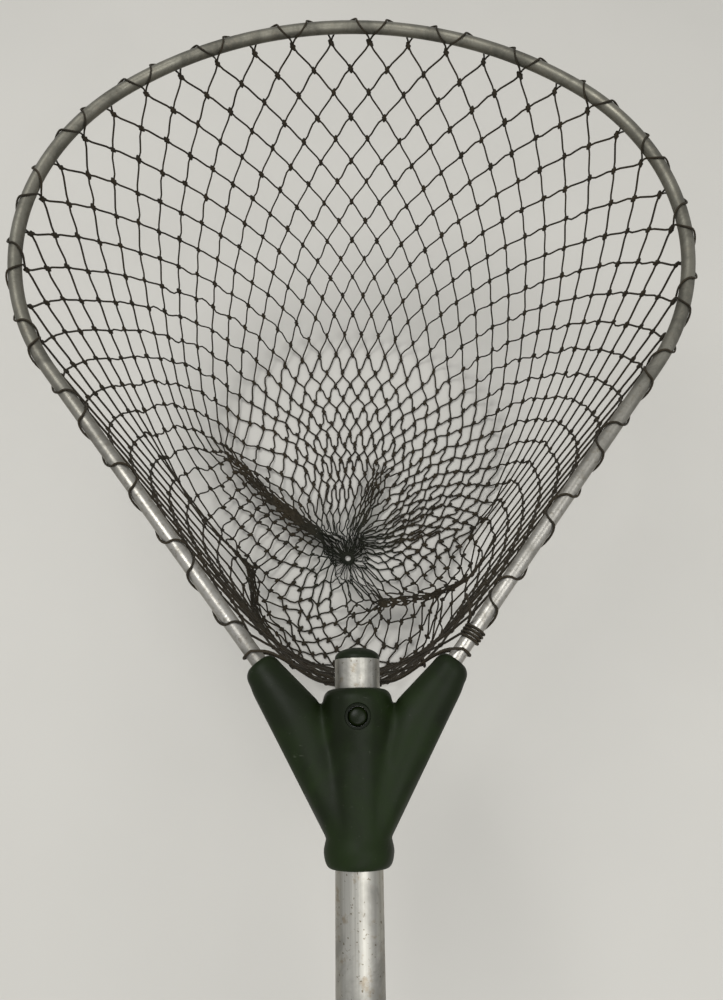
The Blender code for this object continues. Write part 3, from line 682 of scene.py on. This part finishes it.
def draped(laid, held, steps):
    """Lets the bag hang: gravity, bars drawn to length, knots kept apart, and a floor with friction."""
    bag = bpy.context.scene.net_bag
    rows, columns = laid.shape[:2]
    groups = bar_groups(rows, columns)
    grid = np.arange(rows * columns).reshape(rows, columns)
    row_of = np.repeat(np.arange(rows), columns)
    free = ((row_of > 0) & (row_of < rows - 1)).astype(float)
    hold = held.ravel() + HELD_ANYWHERE
    onward = np.roll(grid, -1, axis=1)
    beside = [(grid[:, parity::2].ravel(), onward[:, parity::2].ravel()) for parity in (0, 1)]
    around = []
    for number in range(rows * columns):
        row, column = divmod(number, columns)
        above, below = max(row - 1, 0), min(row + 1, rows - 1)
        sides = knots_round(row, column, columns)
        around.append([near * columns + side for near in (above, below) for side in sides])
    around = np.array(around)
    even = EVENED_OUT * free * eased((row_of - 9) / 6) * (row_of < rows - 3) * (1 - np.minimum(1, hold * 3))
    room = KNOT_ROOM * np.clip((rows - 1 - row_of) / 8, 0.1, 1) * (1 - np.minimum(0.8, hold * 3))
    least = SHORTEST_BAR * bag.bar * (1 - np.minimum(0.75, hold * 2.2))
    aim = laid.reshape(-1, 3)
    points = aim.copy()
    speed = np.zeros_like(points)

    def pull(first, second, shortest, longest, give):
        span = points[second] - points[first]
        length = np.linalg.norm(span, axis=1) + 1e-9
        short = np.where(length < shortest, (length - shortest) * give, 0.0)
        excess = np.where(length > longest, length - longest, short)
        share = free[first] + free[second]
        share[share == 0] = 1
        move = span * (excess / length / share)[:, None]
        points[first] += move * free[first][:, None]
        points[second] -= move * free[second][:, None]

    for _ in range(steps):
        before = points.copy()
        points += speed * SPEED_KEPT * free[:, None]
        points[:, 2] -= FALL * free
        points += (points[around].mean(axis=1) - points) * even[:, None]
        points += (aim - points) * (hold * free)[:, None]
        for turn in range(TURNS):
            for first, second in groups:
                pull(first, second, least[first], bag.bar, 0.2)
            if turn % 3 == 0:
                for first, second in beside:
                    pull(first, second, room[first], 1.0, 0.3)
            np.maximum(points[:, 2], FLOOR_Z + KNOT_LOWEST, out=points[:, 2])
        speed = points - before
        down = points[:, 2] < FLOOR_Z + KNOT_ON_FLOOR
        slide = np.linalg.norm(speed[down, :2], axis=1)
        kept = np.clip(1 - FRICTION * FALL / np.maximum(slide, 1e-9), 0, 1)[:, None]
        points[down, :2] -= speed[down, :2] * (1 - kept)
        speed[down, :2] *= kept
        pace = np.linalg.norm(speed, axis=1)
        speed *= np.minimum(1, FASTEST / np.maximum(pace, 1e-12))[:, None]
    return points.reshape(laid.shape)


def surface_ways(knots):
    """At each knot, the way down the bag and the way out of it."""
    rows = knots.shape[0]
    down = np.zeros_like(knots)
    for row in range(rows):
        down[row] = knots[min(row + 1, rows - 1)] - knots[max(row - 1, 0)]
    round_way = np.roll(knots, -1, axis=1) - np.roll(knots, 1, axis=1)
    down /= np.linalg.norm(down, axis=2, keepdims=True) + 1e-9
    normal = np.cross(down, round_way)
    normal /= np.linalg.norm(normal, axis=2, keepdims=True) + 1e-9
    return down, normal


def scatter(number, seed):
    """A fixed pseudo-random value from -1 to 1 for a whole number."""
    return 2 * ((math.sin(number * 12.9898 + seed * 78.233) * 43758.5453) % 1) - 1


def bar_routes(knots, first_row, last_row):
    """Twine from knot to knot: nearly straight where it is taut, and bowed in an S where it is slack."""
    bag = bpy.context.scene.net_bag
    columns = knots.shape[1]
    _, normal = surface_ways(knots)
    routes = []
    for row in range(first_row, last_row):
        for column in range(columns):
            for kind, other in enumerate(knots_round(row, column, columns)):
                start, end = knots[row, column], knots[row + 1, other]
                span = end - start
                length = np.linalg.norm(span)
                slack = math.sqrt(max(bag.bar**2 - length**2, 0)) * 0.43
                number = (row * columns + column) * 2 + kind
                side = np.cross(normal[row, column], span / (length + 1e-9))
                bow = min(slack, 0.20 * length) * (0.55 + 0.35 * scatter(number, 1))
                bend = 0.0004 + 0.30 * bow
                sag = 0.25 * bow
                points = []
                for share in (0, 0.25, 0.5, 0.75, 1):
                    swing = bow * math.sin(math.pi * share) * scatter(number, 2)
                    curl = bend * math.sin(math.tau * share) * (1 if kind else -1)
                    point = start + span * share + side * (swing + curl)
                    point[2] = max(point[2] - sag * math.sin(math.pi * share), FLOOR_Z + TWINE_ABOVE_FLOOR)
                    tight = 1 - 0.52 * eased((row + share - knots.shape[0] + 5) / 4)
                    points.append((*point, tight))
                routes.append(points)
    return routes


def knot_routes(knots):
    """Each knot as a lump along the bag and a smaller one across it."""
    rows, columns = knots.shape[:2]
    down, normal = surface_ways(knots)
    routes = []
    for row in range(rows - 1):
        for column in range(columns):
            number = row * columns + column
            centre = knots[row, column]
            sideways = np.cross(normal[row, column], down[row, column])
            way = down[row, column] + 0.35 * scatter(number, 3) * sideways
            way /= np.linalg.norm(way)
            across = np.cross(normal[row, column], way)
            size = (1 + 0.12 * scatter(number, 4)) * (1 - 0.62 * eased((row - rows + 7) / 4))
            for direction, half, thick in ((way, 0.0027, 0.86), (across + 0.4 * way, 0.0018, 0.76)):
                reach = direction / np.linalg.norm(direction) * half * size
                lump = ((-1, 0.42), (-0.62, 0.86), (0, 1), (0.62, 0.86), (1, 0.42))
                routes.append([(*(centre + reach * place), thick * size * share) for place, share in lump])
    return routes


def rim_routes(rim):
    """The twine that winds on along the hoop: over the front to one knot, then behind to the next."""
    bag = bpy.context.scene.net_bag
    tubes = bpy.context.scene.net_tubes
    line = hoop_line()
    total = np.linalg.norm(np.diff(line, axis=0), axis=1).sum()
    distances = np.linspace(RIM_END, total - RIM_END, bag.hoop_loops)
    snug = tubes.hoop_diameter / 2 + bag.twine / 2 + 0.0001
    lean = 0.0038
    routes = []
    for number in range(bag.hoop_loops - 1):
        front_first = number % 2 == 0
        middle = (distances[number] + distances[number + 1]) / 2
        crossing = middle - lean if front_first else middle + lean
        crossing += 0.0016 * scatter(number, 5)
        points = []
        for share in np.linspace(0, 1, 25):
            if share < 0.5:
                along_hoop = distances[number] + (crossing - distances[number]) * eased(share * 2) ** 0.9
            else:
                along_hoop = crossing + (distances[number + 1] - crossing) * eased(share * 2 - 1)
            place, direction = (value[0] for value in stations(line, [along_hoop]))
            inward = np.array([direction[1], -direction[0], 0])
            start = math.radians(-70)
            angle = start + math.tau * share * (1 if front_first else -1)
            radial = inward * math.cos(angle) + np.array([0, 0, math.sin(angle)])
            hold = eased(min(share, 1 - share) / 0.16)
            knot = rim[number] if share < 0.5 else rim[number + 1]
            points.append((place + radial * snug) * hold + knot * (1 - hold))
        routes.append(points)
    return routes


def arm_reach():
    """How far from the middle the throat cord goes round each arm."""
    moulded = bpy.context.scene.net_moulded
    return moulded.mouth_x + THROAT_FROM_MOUTH * math.sin(bpy.context.scene.net_tubes.arm_angle)


def throat_line(x, strand=0.0):
    """A point of the throat cord: under the tube by the collar, level at the arms."""
    slope = 1 - eased((abs(x) - THROAT_LEVEL_HALF) / (0.9 * arm_reach() - THROAT_LEVEL_HALF))
    arm_y = MOUTH_Y + THROAT_FROM_MOUTH * math.cos(bpy.context.scene.net_tubes.arm_angle)
    return np.array([x, arm_y - THROAT_DIP * slope, strand - THROAT_BELOW * slope])


def wound_radius():
    """How far from the hoop's centreline a cord lies that is wound on it."""
    return bpy.context.scene.net_tubes.hoop_diameter / 2 + TOUCH_GAP + CORD_DIAMETER / 2


def throat_routes():
    """The doubled cord across the throat as one closed loop round both arms."""
    tubes = bpy.context.scene.net_tubes
    reach = arm_reach()
    clear = wound_radius()
    route = []
    for sign in (1, -1):
        strand = []
        for x in np.linspace(-reach, reach, 49):
            share = eased((abs(x) / reach - 0.5) / 0.38)
            strand.append(throat_line(x, sign * (0.0011 * (1 - share) + clear * share)))
        route += strand if sign > 0 else strand[::-1]
        outward = np.array([math.cos(tubes.arm_angle) * sign, -math.sin(tubes.arm_angle), 0])
        centre = throat_line(reach * sign)
        for angle in np.linspace(math.pi / 2, -math.pi / 2, 11)[1:-1]:
            up = np.array([0, 0, math.sin(angle) * sign])
            route.append(centre + (outward * math.cos(angle) + up) * clear)
    return [route]


def throat_loop_routes(rim):
    """A loop of twine from each throat knot up round the throat cord."""
    bag = bpy.context.scene.net_bag
    routes = []
    for knot in rim[bag.hoop_loops :]:
        centre = throat_line(knot[0])
        low = centre + np.array([0, 0, -0.0026])
        ring = []
        for angle in np.linspace(-math.pi / 2, 1.5 * math.pi, 17):
            offset = (0.0008 * math.sin(angle * 0.5), 0.0019 * math.cos(angle), 0.0027 * math.sin(angle))
            ring.append(centre + np.array(offset))
        routes.append([knot, (knot + low) / 2, *ring, (knot + low) / 2 + np.array([0.0009, 0, 0]), knot])
    return routes


def lashing_route():
    """The turns wound round the right arm beside its socket, and a short tail."""
    tubes = bpy.context.scene.net_tubes
    mouth, inward = arm_frame(1)
    outward = -np.array(inward)
    side = np.array([-math.cos(tubes.arm_angle), math.sin(tubes.arm_angle), 0])
    up = np.array([0, 0, 1.0])
    radius = wound_radius()
    from_mouth, pitch, turns, per_turn = 0.0120, 0.0019, 4, 24
    tail, tail_steps = 0.016, 12
    route = []
    for step in range(turns * per_turn + 1):
        angle = math.tau * step / per_turn
        centre = np.array(mouth) + outward * (from_mouth + pitch * step / per_turn)
        route.append(centre + (side * math.cos(angle) + up * math.sin(angle)) * radius)
    leaving = up * 0.8 + outward * 0.25
    last = side + outward * 0.9 - up * 0.5
    for step in range(1, tail_steps + 1):
        share = step / tail_steps
        bend = leaving * (1 - share) + last * share
        route.append(route[-1] + bend / np.linalg.norm(bend) * tail / tail_steps)
    return route


# Operators


class LANDINGNET_OT_stage(Operator):
    """Make the camera, the floor and the soft lamps"""

    bl_idname = "landing_net.stage"
    bl_label = "Stage"

    def execute(self, context):
        stage = context.scene.net_stage
        context.scene.view_settings.view_transform = "Standard"
        eye = Vector((-0.00016, 0.48504, 0.37745))
        ahead = Vector((0.00855, 0.31052, -0.95053)).normalized()
        up = Vector((0.01057, 0.95048, 0.31060))
        right = ahead.cross(up).normalized()
        up = right.cross(ahead)
        camera = bpy.data.cameras.new("camera")
        camera.lens = stage.lens
        camera.sensor_width = 36
        camera.clip_start = 0.01
        turn = Matrix((right, up, -ahead)).transposed().to_4x4()
        eye_object = linked("camera", camera)
        eye_object.matrix_world = Matrix.Translation(eye) @ turn
        context.scene.camera = eye_object
        mesh = bmesh.new()
        under = Matrix.Translation((0, 0.5, FLOOR_Z - TOUCH_GAP))
        bmesh.ops.create_circle(mesh, cap_ends=True, segments=96, radius=6.0, matrix=under)
        floor = linked("floor", as_data(mesh, "floor"))
        floor.data.materials.append(floor_finish())
        for name, place, size, power in (
            ("key", (-0.55, 1.15, 1.55), 0.9, 15),
            ("fill", (0.75, 0.30, 1.60), 1.2, 11),
            ("back", (0.10, -0.75, 1.45), 1.0, 8),
        ):
            lamp = bpy.data.lights.new(name, "AREA")
            lamp.shape = "DISK"
            lamp.size = size
            lamp.energy = power
            lamp_object = linked(name, lamp)
            lamp_object.location = place
            aim = Vector((0, 0.60, -0.1)) - Vector(place)
            lamp_object.rotation_euler = aim.to_track_quat("-Z", "Y").to_euler()
        world = bpy.data.worlds.new("studio")
        world.use_nodes = True
        sky = Nodes(world.node_tree)
        glow = sky.tree.nodes["Background"]
        glow.inputs["Color"].default_value = (0.92, 0.93, 0.95, 1)
        rays = sky.add("ShaderNodeLightPath").outputs
        seen_by = {0: rays["Is Camera Ray"], 1: rays["Is Glossy Ray"]}
        seen = sky.add("ShaderNodeMath", seen_by, operation="MAXIMUM").outputs[0]
        level = sky.add("ShaderNodeMapRange", {"Value": seen, "To Min": 0.45, "To Max": 0.85})
        sky.feed(glow.inputs["Strength"], level.outputs["Result"])
        context.scene.world = world
        return {"FINISHED"}


class LANDINGNET_OT_handle(Operator):
    """Make the handle's tube and the plug in its end"""

    bl_idname = "landing_net.handle"
    bl_label = "Handle tube"

    def execute(self, context):
        tubes = context.scene.net_tubes
        outer = tubes.handle_diameter / 2
        inner = outer - tubes.handle_wall
        soft = 0.0003
        profile = [
            (inner, TUBE_START),
            (outer - soft, TUBE_START),
            (outer, TUBE_START + soft),
            *[(outer, y) for y in np.linspace(TUBE_START + 0.05, TUBE_END - 0.02, 9)],
            (outer, TUBE_END - soft),
            (outer - soft, TUBE_END),
            (inner, TUBE_END),
        ]
        hole = turned(rod(BUTTON_HOLE_RADIUS, 0, 0.02), 40, along((0, BUTTON_Y, 0), (0, 0, 1)))
        data = cut(closed_up(turned(profile, 96), "tube"), [hole])
        piece("handle_shaft", data, drawn_aluminium(), "handle", "tube_aluminium", "handle_tube")
        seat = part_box("tube_end_plug")
        top = seat[1].y
        lip_height, edge, stub = 0.0062, 0.0004, inner - TOUCH_GAP
        lip = top - lip_height
        profile = [
            (0, seat[0].y),
            (stub - 0.0008, seat[0].y),
            (stub, seat[0].y + 0.0015),
            (stub, lip),
            (outer - edge, lip),
            (outer, lip + edge),
            *rounded((0, lip + 0.0012), (outer, 0.0050), 0, 88, 14),
            (0, top),
        ]
        data = closed_up(turned(profile, 72), "plug")
        piece("shaft_plug", data, moulded_green("plug_green"), "handle", "green_plastic", "tube_end_plug")
        return {"FINISHED"}


class LANDINGNET_OT_grip(Operator):
    """Make the ribbed hand grip and its cap"""

    bl_idname = "landing_net.grip"
    bl_label = "Grip"

    def execute(self, context):
        tubes = context.scene.net_tubes
        low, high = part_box("grip")
        back, front = low.y, high.y
        bore = tubes.handle_diameter / 2 + TOUCH_GAP
        radius, collar, corner = 0.015, high.z, 0.0012
        ribs, rib_height, waist = 36, 0.00055, 0.0016
        hollow = []
        for share in np.linspace(0, 1, 145):
            rib = max(0.0, math.sin(math.pi * share * ribs)) ** 0.6 * rib_height
            rib *= eased(min(share, 1 - share) / 0.05)
            around = radius - waist * math.sin(math.pi * share) - 0.0004 + rib
            hollow.append((around, back + 0.006 + share * (front - back - 0.020)))
        profile = [
            (bore, back),
            (radius - corner, back),
            *rounded((radius - corner, back + corner), (corner, corner), -60, 0, 4),
            *hollow,
            (collar - 0.0009, front - 0.0070),
            *rounded((collar - 0.0012, front - 0.0056), (0.0012, 0.0012), -40, 0, 4),
            *rounded((collar - 0.0030, front - 0.0026), (0.0030, 0.0024), 0, 80, 7),
            (collar - 0.0042, front),
            (bore, front),
        ]
        data = closed_up(turned(profile, 96), "grip")
        piece("hand_grip", data, moulded_green("grip_green", 0.52, 0.68), "handle", "grip_plastic", "grip")
        low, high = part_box("grip_cap")
        inner = tubes.handle_diameter / 2 - tubes.handle_wall - TOUCH_GAP
        seat = TUBE_START - TOUCH_GAP
        profile = [
            (0, low.y + 0.0006),
            (0.0085, low.y + 0.0006),
            (0.0092, low.y),
            (radius - 0.0016, low.y),
            *rounded((radius - 0.0016, low.y + 0.0016), (0.0016, 0.0016), -75, 0, 6),
            (radius, seat),
            (inner, seat),
            (inner, high.y - 0.0015),
            (inner - 0.001, high.y),
            (0, high.y),
        ]
        data = closed_up(turned(profile, 72), "cap")
        piece("butt_cap", data, moulded_green("cap_green"), "handle", "green_plastic", "grip_cap")
        return {"FINISHED"}


class LANDINGNET_OT_lock(Operator):
    """Make the snap button and the leaf spring that lifts it"""

    bl_idname = "landing_net.lock"
    bl_label = "Snap lock"

    def execute(self, context):
        low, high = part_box("lock_button")
        radius = (high.x - low.x) / 2
        profile = [
            (0, low.z),
            (radius - 0.0003, low.z),
            (radius, low.z + 0.0003),
            *rounded((0, high.z - 0.0016), (radius, 0.0016), 0, 86, 14),
            (0, high.z),
        ]
        data = closed_up(turned(profile, 56, along((0, BUTTON_Y, 0), (0, 0, 1))), "button")
        finish = moulded_green("button_green", 0.30, 0.44)
        piece("snap_button", data, finish, "button", "green_plastic", "lock_button")
        low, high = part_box("button_spring")
        half, end_y, top = high.x, high.y, high.z
        thick, bend, reach, pad = 0.0008, 0.003, 0.052, 0.0055
        middle = low.z + bend
        bend_y = BUTTON_Y - reach
        angles = np.linspace(0, 2.88, 16)
        outside = [(bend_y - bend * math.sin(a), middle - bend * math.cos(a)) for a in angles]
        inner = bend - thick
        inside = [(bend_y - inner * math.sin(a), middle - inner * math.cos(a)) for a in angles[::-1]]
        outline = [
            (end_y, low.z),
            *outside,
            (BUTTON_Y - pad, top),
            (end_y, top),
            (end_y, top - thick),
            (BUTTON_Y - pad, top - thick),
            *inside,
            (end_y, low.z + thick),
        ]
        mesh = bmesh.new()
        side = mesh.faces.new([mesh.verts.new((-half, y, z)) for y, z in outline])
        grown = bmesh.ops.extrude_face_region(mesh, geom=[side])["geom"]
        moved = [item for item in grown if isinstance(item, bmesh.types.BMVert)]
        bmesh.ops.translate(mesh, verts=moved, vec=(2 * half, 0, 0))
        data = closed_up(mesh, "leaf")
        leaf = piece("leaf_spring", data, blued_steel(), "handle", "spring_steel", "button_spring")
        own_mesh(leaf)
        return {"FINISHED"}


class LANDINGNET_OT_yoke(Operator):
    """Mould the Y: a sleeve and two wings run together, then bored"""

    bl_idname = "landing_net.yoke"
    bl_label = "Yoke"

    def sleeve(self, moulded):
        collar, neck, bulge = (
            size / 2 for size in (moulded.collar_diameter, moulded.neck_diameter, moulded.foot_diameter)
        )
        foot, waist = 0.0131, 0.0152
        foot_height, narrowing_height, easing_height, edge = 0.0075, 0.006, 0.012, 0.0050
        shoulder_y = COLLAR_Y - moulded.collar_length
        easing = [
            (neck + (collar - neck) * eased(share), shoulder_y - easing_height + easing_height * share)
            for share in np.linspace(0, 1, 9)
        ]
        rounding = [
            (foot + (bulge - foot) * math.sin(a), FOOT_Y + foot_height * (1 - math.cos(a)))
            for a in np.linspace(0, math.pi / 2, 10)
        ]
        narrowing = [
            (bulge + (waist - bulge) * eased(share), FOOT_Y + foot_height + narrowing_height * share)
            for share in np.linspace(0, 1, 7)[1:]
        ]
        edging = rounded((collar - edge, COLLAR_Y - edge), (edge, edge), 0, 90, 12)
        return turned([(0, FOOT_Y), *rounding, *narrowing, *easing, *edging, (0, COLLAR_Y)], 72)

    def wing(self, moulded, side):
        """Oval sections from the domed socket mouth down to the sleeve's waist, bridged one to the next."""
        mouth, inward = arm_frame(1)
        across = Vector((-inward.y, inward.x, 0))
        radius = moulded.socket_diameter / 2
        face, dome, outer_more, root_height = 0.0051, 0.0070, 0.0052, 0.0125
        waist_y = FOOT_Y + 0.0135
        corner = Vector((0.0525, COLLAR_Y + 0.0008, 0))
        crotch = Vector((moulded.collar_diameter / 2 + 0.0008, COLLAR_Y - 0.0068, 0))
        waist = Vector((0.0156, waist_y, 0))
        root = Vector((0.0, waist_y, 0))
        sections = []
        for angle in np.linspace(0, math.pi / 2, 9):
            bulge = math.sin(angle)
            middle = mouth + inward * (dome * (1 - math.cos(angle)))
            reach = face + (radius - face) * bulge
            sections.append((middle - across * reach, middle + across * (face + outer_more * bulge), reach))
        inner = mouth + inward * dome - across * radius
        for share in np.linspace(0.18, 1, 16):
            outer_point = corner.lerp(waist, (share - 0.14) / 0.86)
            if share < 0.5:
                inner_point = inner.lerp(crotch, share / 0.5)
            else:
                inner_point = crotch.lerp(root, (share * 2 - 1) ** 0.6)
            sections.append((inner_point, outer_point, radius + (root_height - radius) * share))
        mesh = bmesh.new()
        rings = []
        for inner_point, outer_point, height in sections:
            middle = (inner_point + outer_point) / 2
            half = (outer_point - inner_point) / 2
            columns = Matrix((half, Vector((0, 0, height)), half.cross(Vector((0, 0, 1))))).transposed()
            made = bmesh.ops.create_circle(
                mesh, segments=40, radius=1, matrix=Matrix.Translation(middle) @ columns.to_4x4()
            )
            rings.append(list({edge for vert in made["verts"] for edge in vert.link_edges}))
        for low, high in zip(rings, rings[1:]):
            bmesh.ops.bridge_loops(mesh, edges=low + high)
        bmesh.ops.holes_fill(mesh, edges=rings[0] + rings[-1], sides=0)
        if side < 0:
            bmesh.ops.scale(mesh, vec=(-1, 1, 1), verts=mesh.verts)
        return mesh

    def filled_valleys(self, data):
        """Smooths the skin hard only where the wings run into the sleeve."""
        weights = {}
        for vert in data.vertices:
            x, y, z = abs(vert.co.x), vert.co.y, abs(vert.co.z)
            weight = eased((x - 0.0065) / 0.005) * eased((0.034 - x) / 0.008) * eased((z - 0.002) / 0.004)
            weight *= eased((y - FOOT_Y - 0.012) / 0.006) * eased((COLLAR_Y - 0.003 - y) / 0.005)
            if weight > 0.01:
                weights[vert.index] = weight
        return with_modifier(data, "SMOOTH", weights, factor=0.5, iterations=130)

    def execute(self, context):
        moulded = context.scene.net_moulded
        tubes = context.scene.net_tubes
        whole = bmesh.new()
        for number, shape in enumerate((self.sleeve(moulded), self.wing(moulded, 1), self.wing(moulded, -1))):
            whole.from_mesh(closed_up(shape, f"yoke_{number}"))
        data = as_data(whole, "yoke")
        data = with_modifier(data, "REMESH", mode="VOXEL", voxel_size=0.0009, adaptivity=0.0)
        data = with_modifier(data, "SMOOTH", factor=0.5, iterations=8)
        data = self.filled_valleys(data)
        bore = rod(tubes.handle_diameter / 2 + TOUCH_GAP, -0.1, 0.05)
        socket = rod(tubes.hoop_diameter / 2 + TOUCH_GAP, -0.01, SOCKET_DEPTH)
        cutters = [turned(bore, 96, along((0, COLLAR_Y, 0), (0, 1, 0)))]
        cutters += [turned(socket, 48, along(*arm_frame(side))) for side in (-1, 1)]
        well_floor, well_radius, well_top = 0.01335, 0.0062, 0.02
        well = [
            (0, 0),
            (BUTTON_HOLE_RADIUS, 0),
            (BUTTON_HOLE_RADIUS, well_floor),
            (well_radius - 0.0002, well_floor),
            (well_radius, well_floor + 0.00035),
            (well_radius, well_top),
            (0, well_top),
        ]
        cutters.append(turned(well, 64, along((0, BUTTON_Y, 0), (0, 0, 1))))
        piece("moulded_yoke", cut(data, cutters), moulded_green(), "head", "green_plastic", "yoke")
        return {"FINISHED"}


class LANDINGNET_OT_hoop(Operator):
    """Bend the hoop's tube"""

    bl_idname = "landing_net.hoop"
    bl_label = "Hoop"

    def execute(self, context):
        tubes = context.scene.net_tubes
        data = strands("hoop", [hoop_line(HOOP_SEAT)], tubes.hoop_diameter, resolution=10)
        piece("bent_hoop", data, weathered_aluminium(), "head", "hoop_aluminium", "hoop")
        return {"FINISHED"}


class LANDINGNET_OT_netting(Operator):
    """Knit the bag, let it drape, and wind its top on the hoop"""

    bl_idname = "landing_net.netting"
    bl_label = "Netting"

    def execute(self, context):
        bag = context.scene.net_bag
        rim = rim_knots()
        knots = draped(*first_lay(rim, bag.half_rows), 240)
        last = bag.half_rows - 1
        half = last // 2
        for name, routes, thick, finish, *nodes in (
            ("bag_upper", bar_routes(knots, 0, half), bag.twine, ("upper_twine", 6, True), "net_bag"),
            ("bag_lower", bar_routes(knots, half, last), bag.twine, ("lower_twine", 6, True)),
            ("bag_knots", knot_routes(knots), bag.knot, ("knot_twine", 2, True)),
            ("rim_winding", rim_routes(rim), bag.twine * 0.95, ("rim_twine", 12)),
            ("throat_hangers", throat_loop_routes(rim), bag.twine, ("hanger_twine", 6)),
        ):
            piece(name, strands(name, routes, thick), twisted_twine(*finish), "head", "net_twine", *nodes)
        return {"FINISHED"}


class LANDINGNET_OT_cords(Operator):
    """Tie the gather, the throat cord and the lashing on the right arm"""

    bl_idname = "landing_net.cords"
    bl_label = "Cords"

    def execute(self, context):
        centre = np.array(GATHER)
        ring, coil, turns, steps = 0.0042, 0.00135, 19, 360
        whipping = []
        for step in range(steps):
            around = math.tau * step / steps
            radial = np.array([math.cos(around), math.sin(around), 0])
            up = np.array([0, 0, coil * math.sin(around * turns)])
            whipping.append(centre + radial * (ring + coil * math.cos(around * turns)) + up)
        angles = np.linspace(0, math.tau, 49)[:-1]
        core = [centre + ring * np.array([math.cos(a), math.sin(a), 0]) for a in angles]
        for name, routes, thick, closed, smooth, finish, *nodes in (
            ("gather_whipping", [whipping], 0.00125, True, 1, ("gather_twine", 60, True), "gather_cord"),
            ("gather_core", [core], 0.0017, True, 1, ("core_twine", 9, True)),
            ("throat_line", throat_routes(), CORD_DIAMETER, True, 2, ("throat_twine", 70), "throat_cord"),
            ("arm_winding", [lashing_route()], CORD_DIAMETER, False, 2, ("lashing_twine", 40), "arm_lashing"),
        ):
            data = strands(name, routes, thick, closed, smooth)
            piece(name, data, twisted_twine(*finish), "head", "cord_twine", *nodes)
        return {"FINISHED"}


class LANDINGNET_PT_sidebar(Panel):
    """The landing net's parts, each with its button"""

    bl_label = "Landing net"
    bl_idname = "LANDINGNET_PT_sidebar"
    bl_space_type = "VIEW_3D"
    bl_region_type = "UI"
    bl_category = "Landing net"

    def draw(self, context):
        for operator in PARTS:
            self.layout.operator(operator.bl_idname)
        for group in ("net_tubes", "net_moulded", "net_bag", "net_stage"):
            settings = getattr(context.scene, group)
            box = self.layout.box()
            for key in settings.__annotations__:
                box.prop(settings, key)


PARTS = (
    LANDINGNET_OT_stage,
    LANDINGNET_OT_handle,
    LANDINGNET_OT_grip,
    LANDINGNET_OT_lock,
    LANDINGNET_OT_yoke,
    LANDINGNET_OT_hoop,
    LANDINGNET_OT_netting,
    LANDINGNET_OT_cords,
)
GROUPS = {
    "net_tubes": TubeSettings,
    "net_moulded": YokeSettings,
    "net_bag": NettingSettings,
    "net_stage": StageSettings,
}


def register():
    for kind in (*GROUPS.values(), *PARTS, LANDINGNET_PT_sidebar):
        bpy.utils.register_class(kind)
    for name, kind in GROUPS.items():
        setattr(bpy.types.Scene, name, PointerProperty(type=kind))


def unregister():
    for name in GROUPS:
        delattr(bpy.types.Scene, name)
    for kind in reversed((*GROUPS.values(), *PARTS, LANDINGNET_PT_sidebar)):
        bpy.utils.unregister_class(kind)


def main():
    register()
    bpy.ops.landing_net.stage()
    bpy.ops.landing_net.handle()
    bpy.ops.landing_net.grip()
    bpy.ops.landing_net.lock()
    bpy.ops.landing_net.yoke()
    bpy.ops.landing_net.hoop()
    bpy.ops.landing_net.netting()
    bpy.ops.landing_net.cords()


if __name__ == "__main__":
    main()
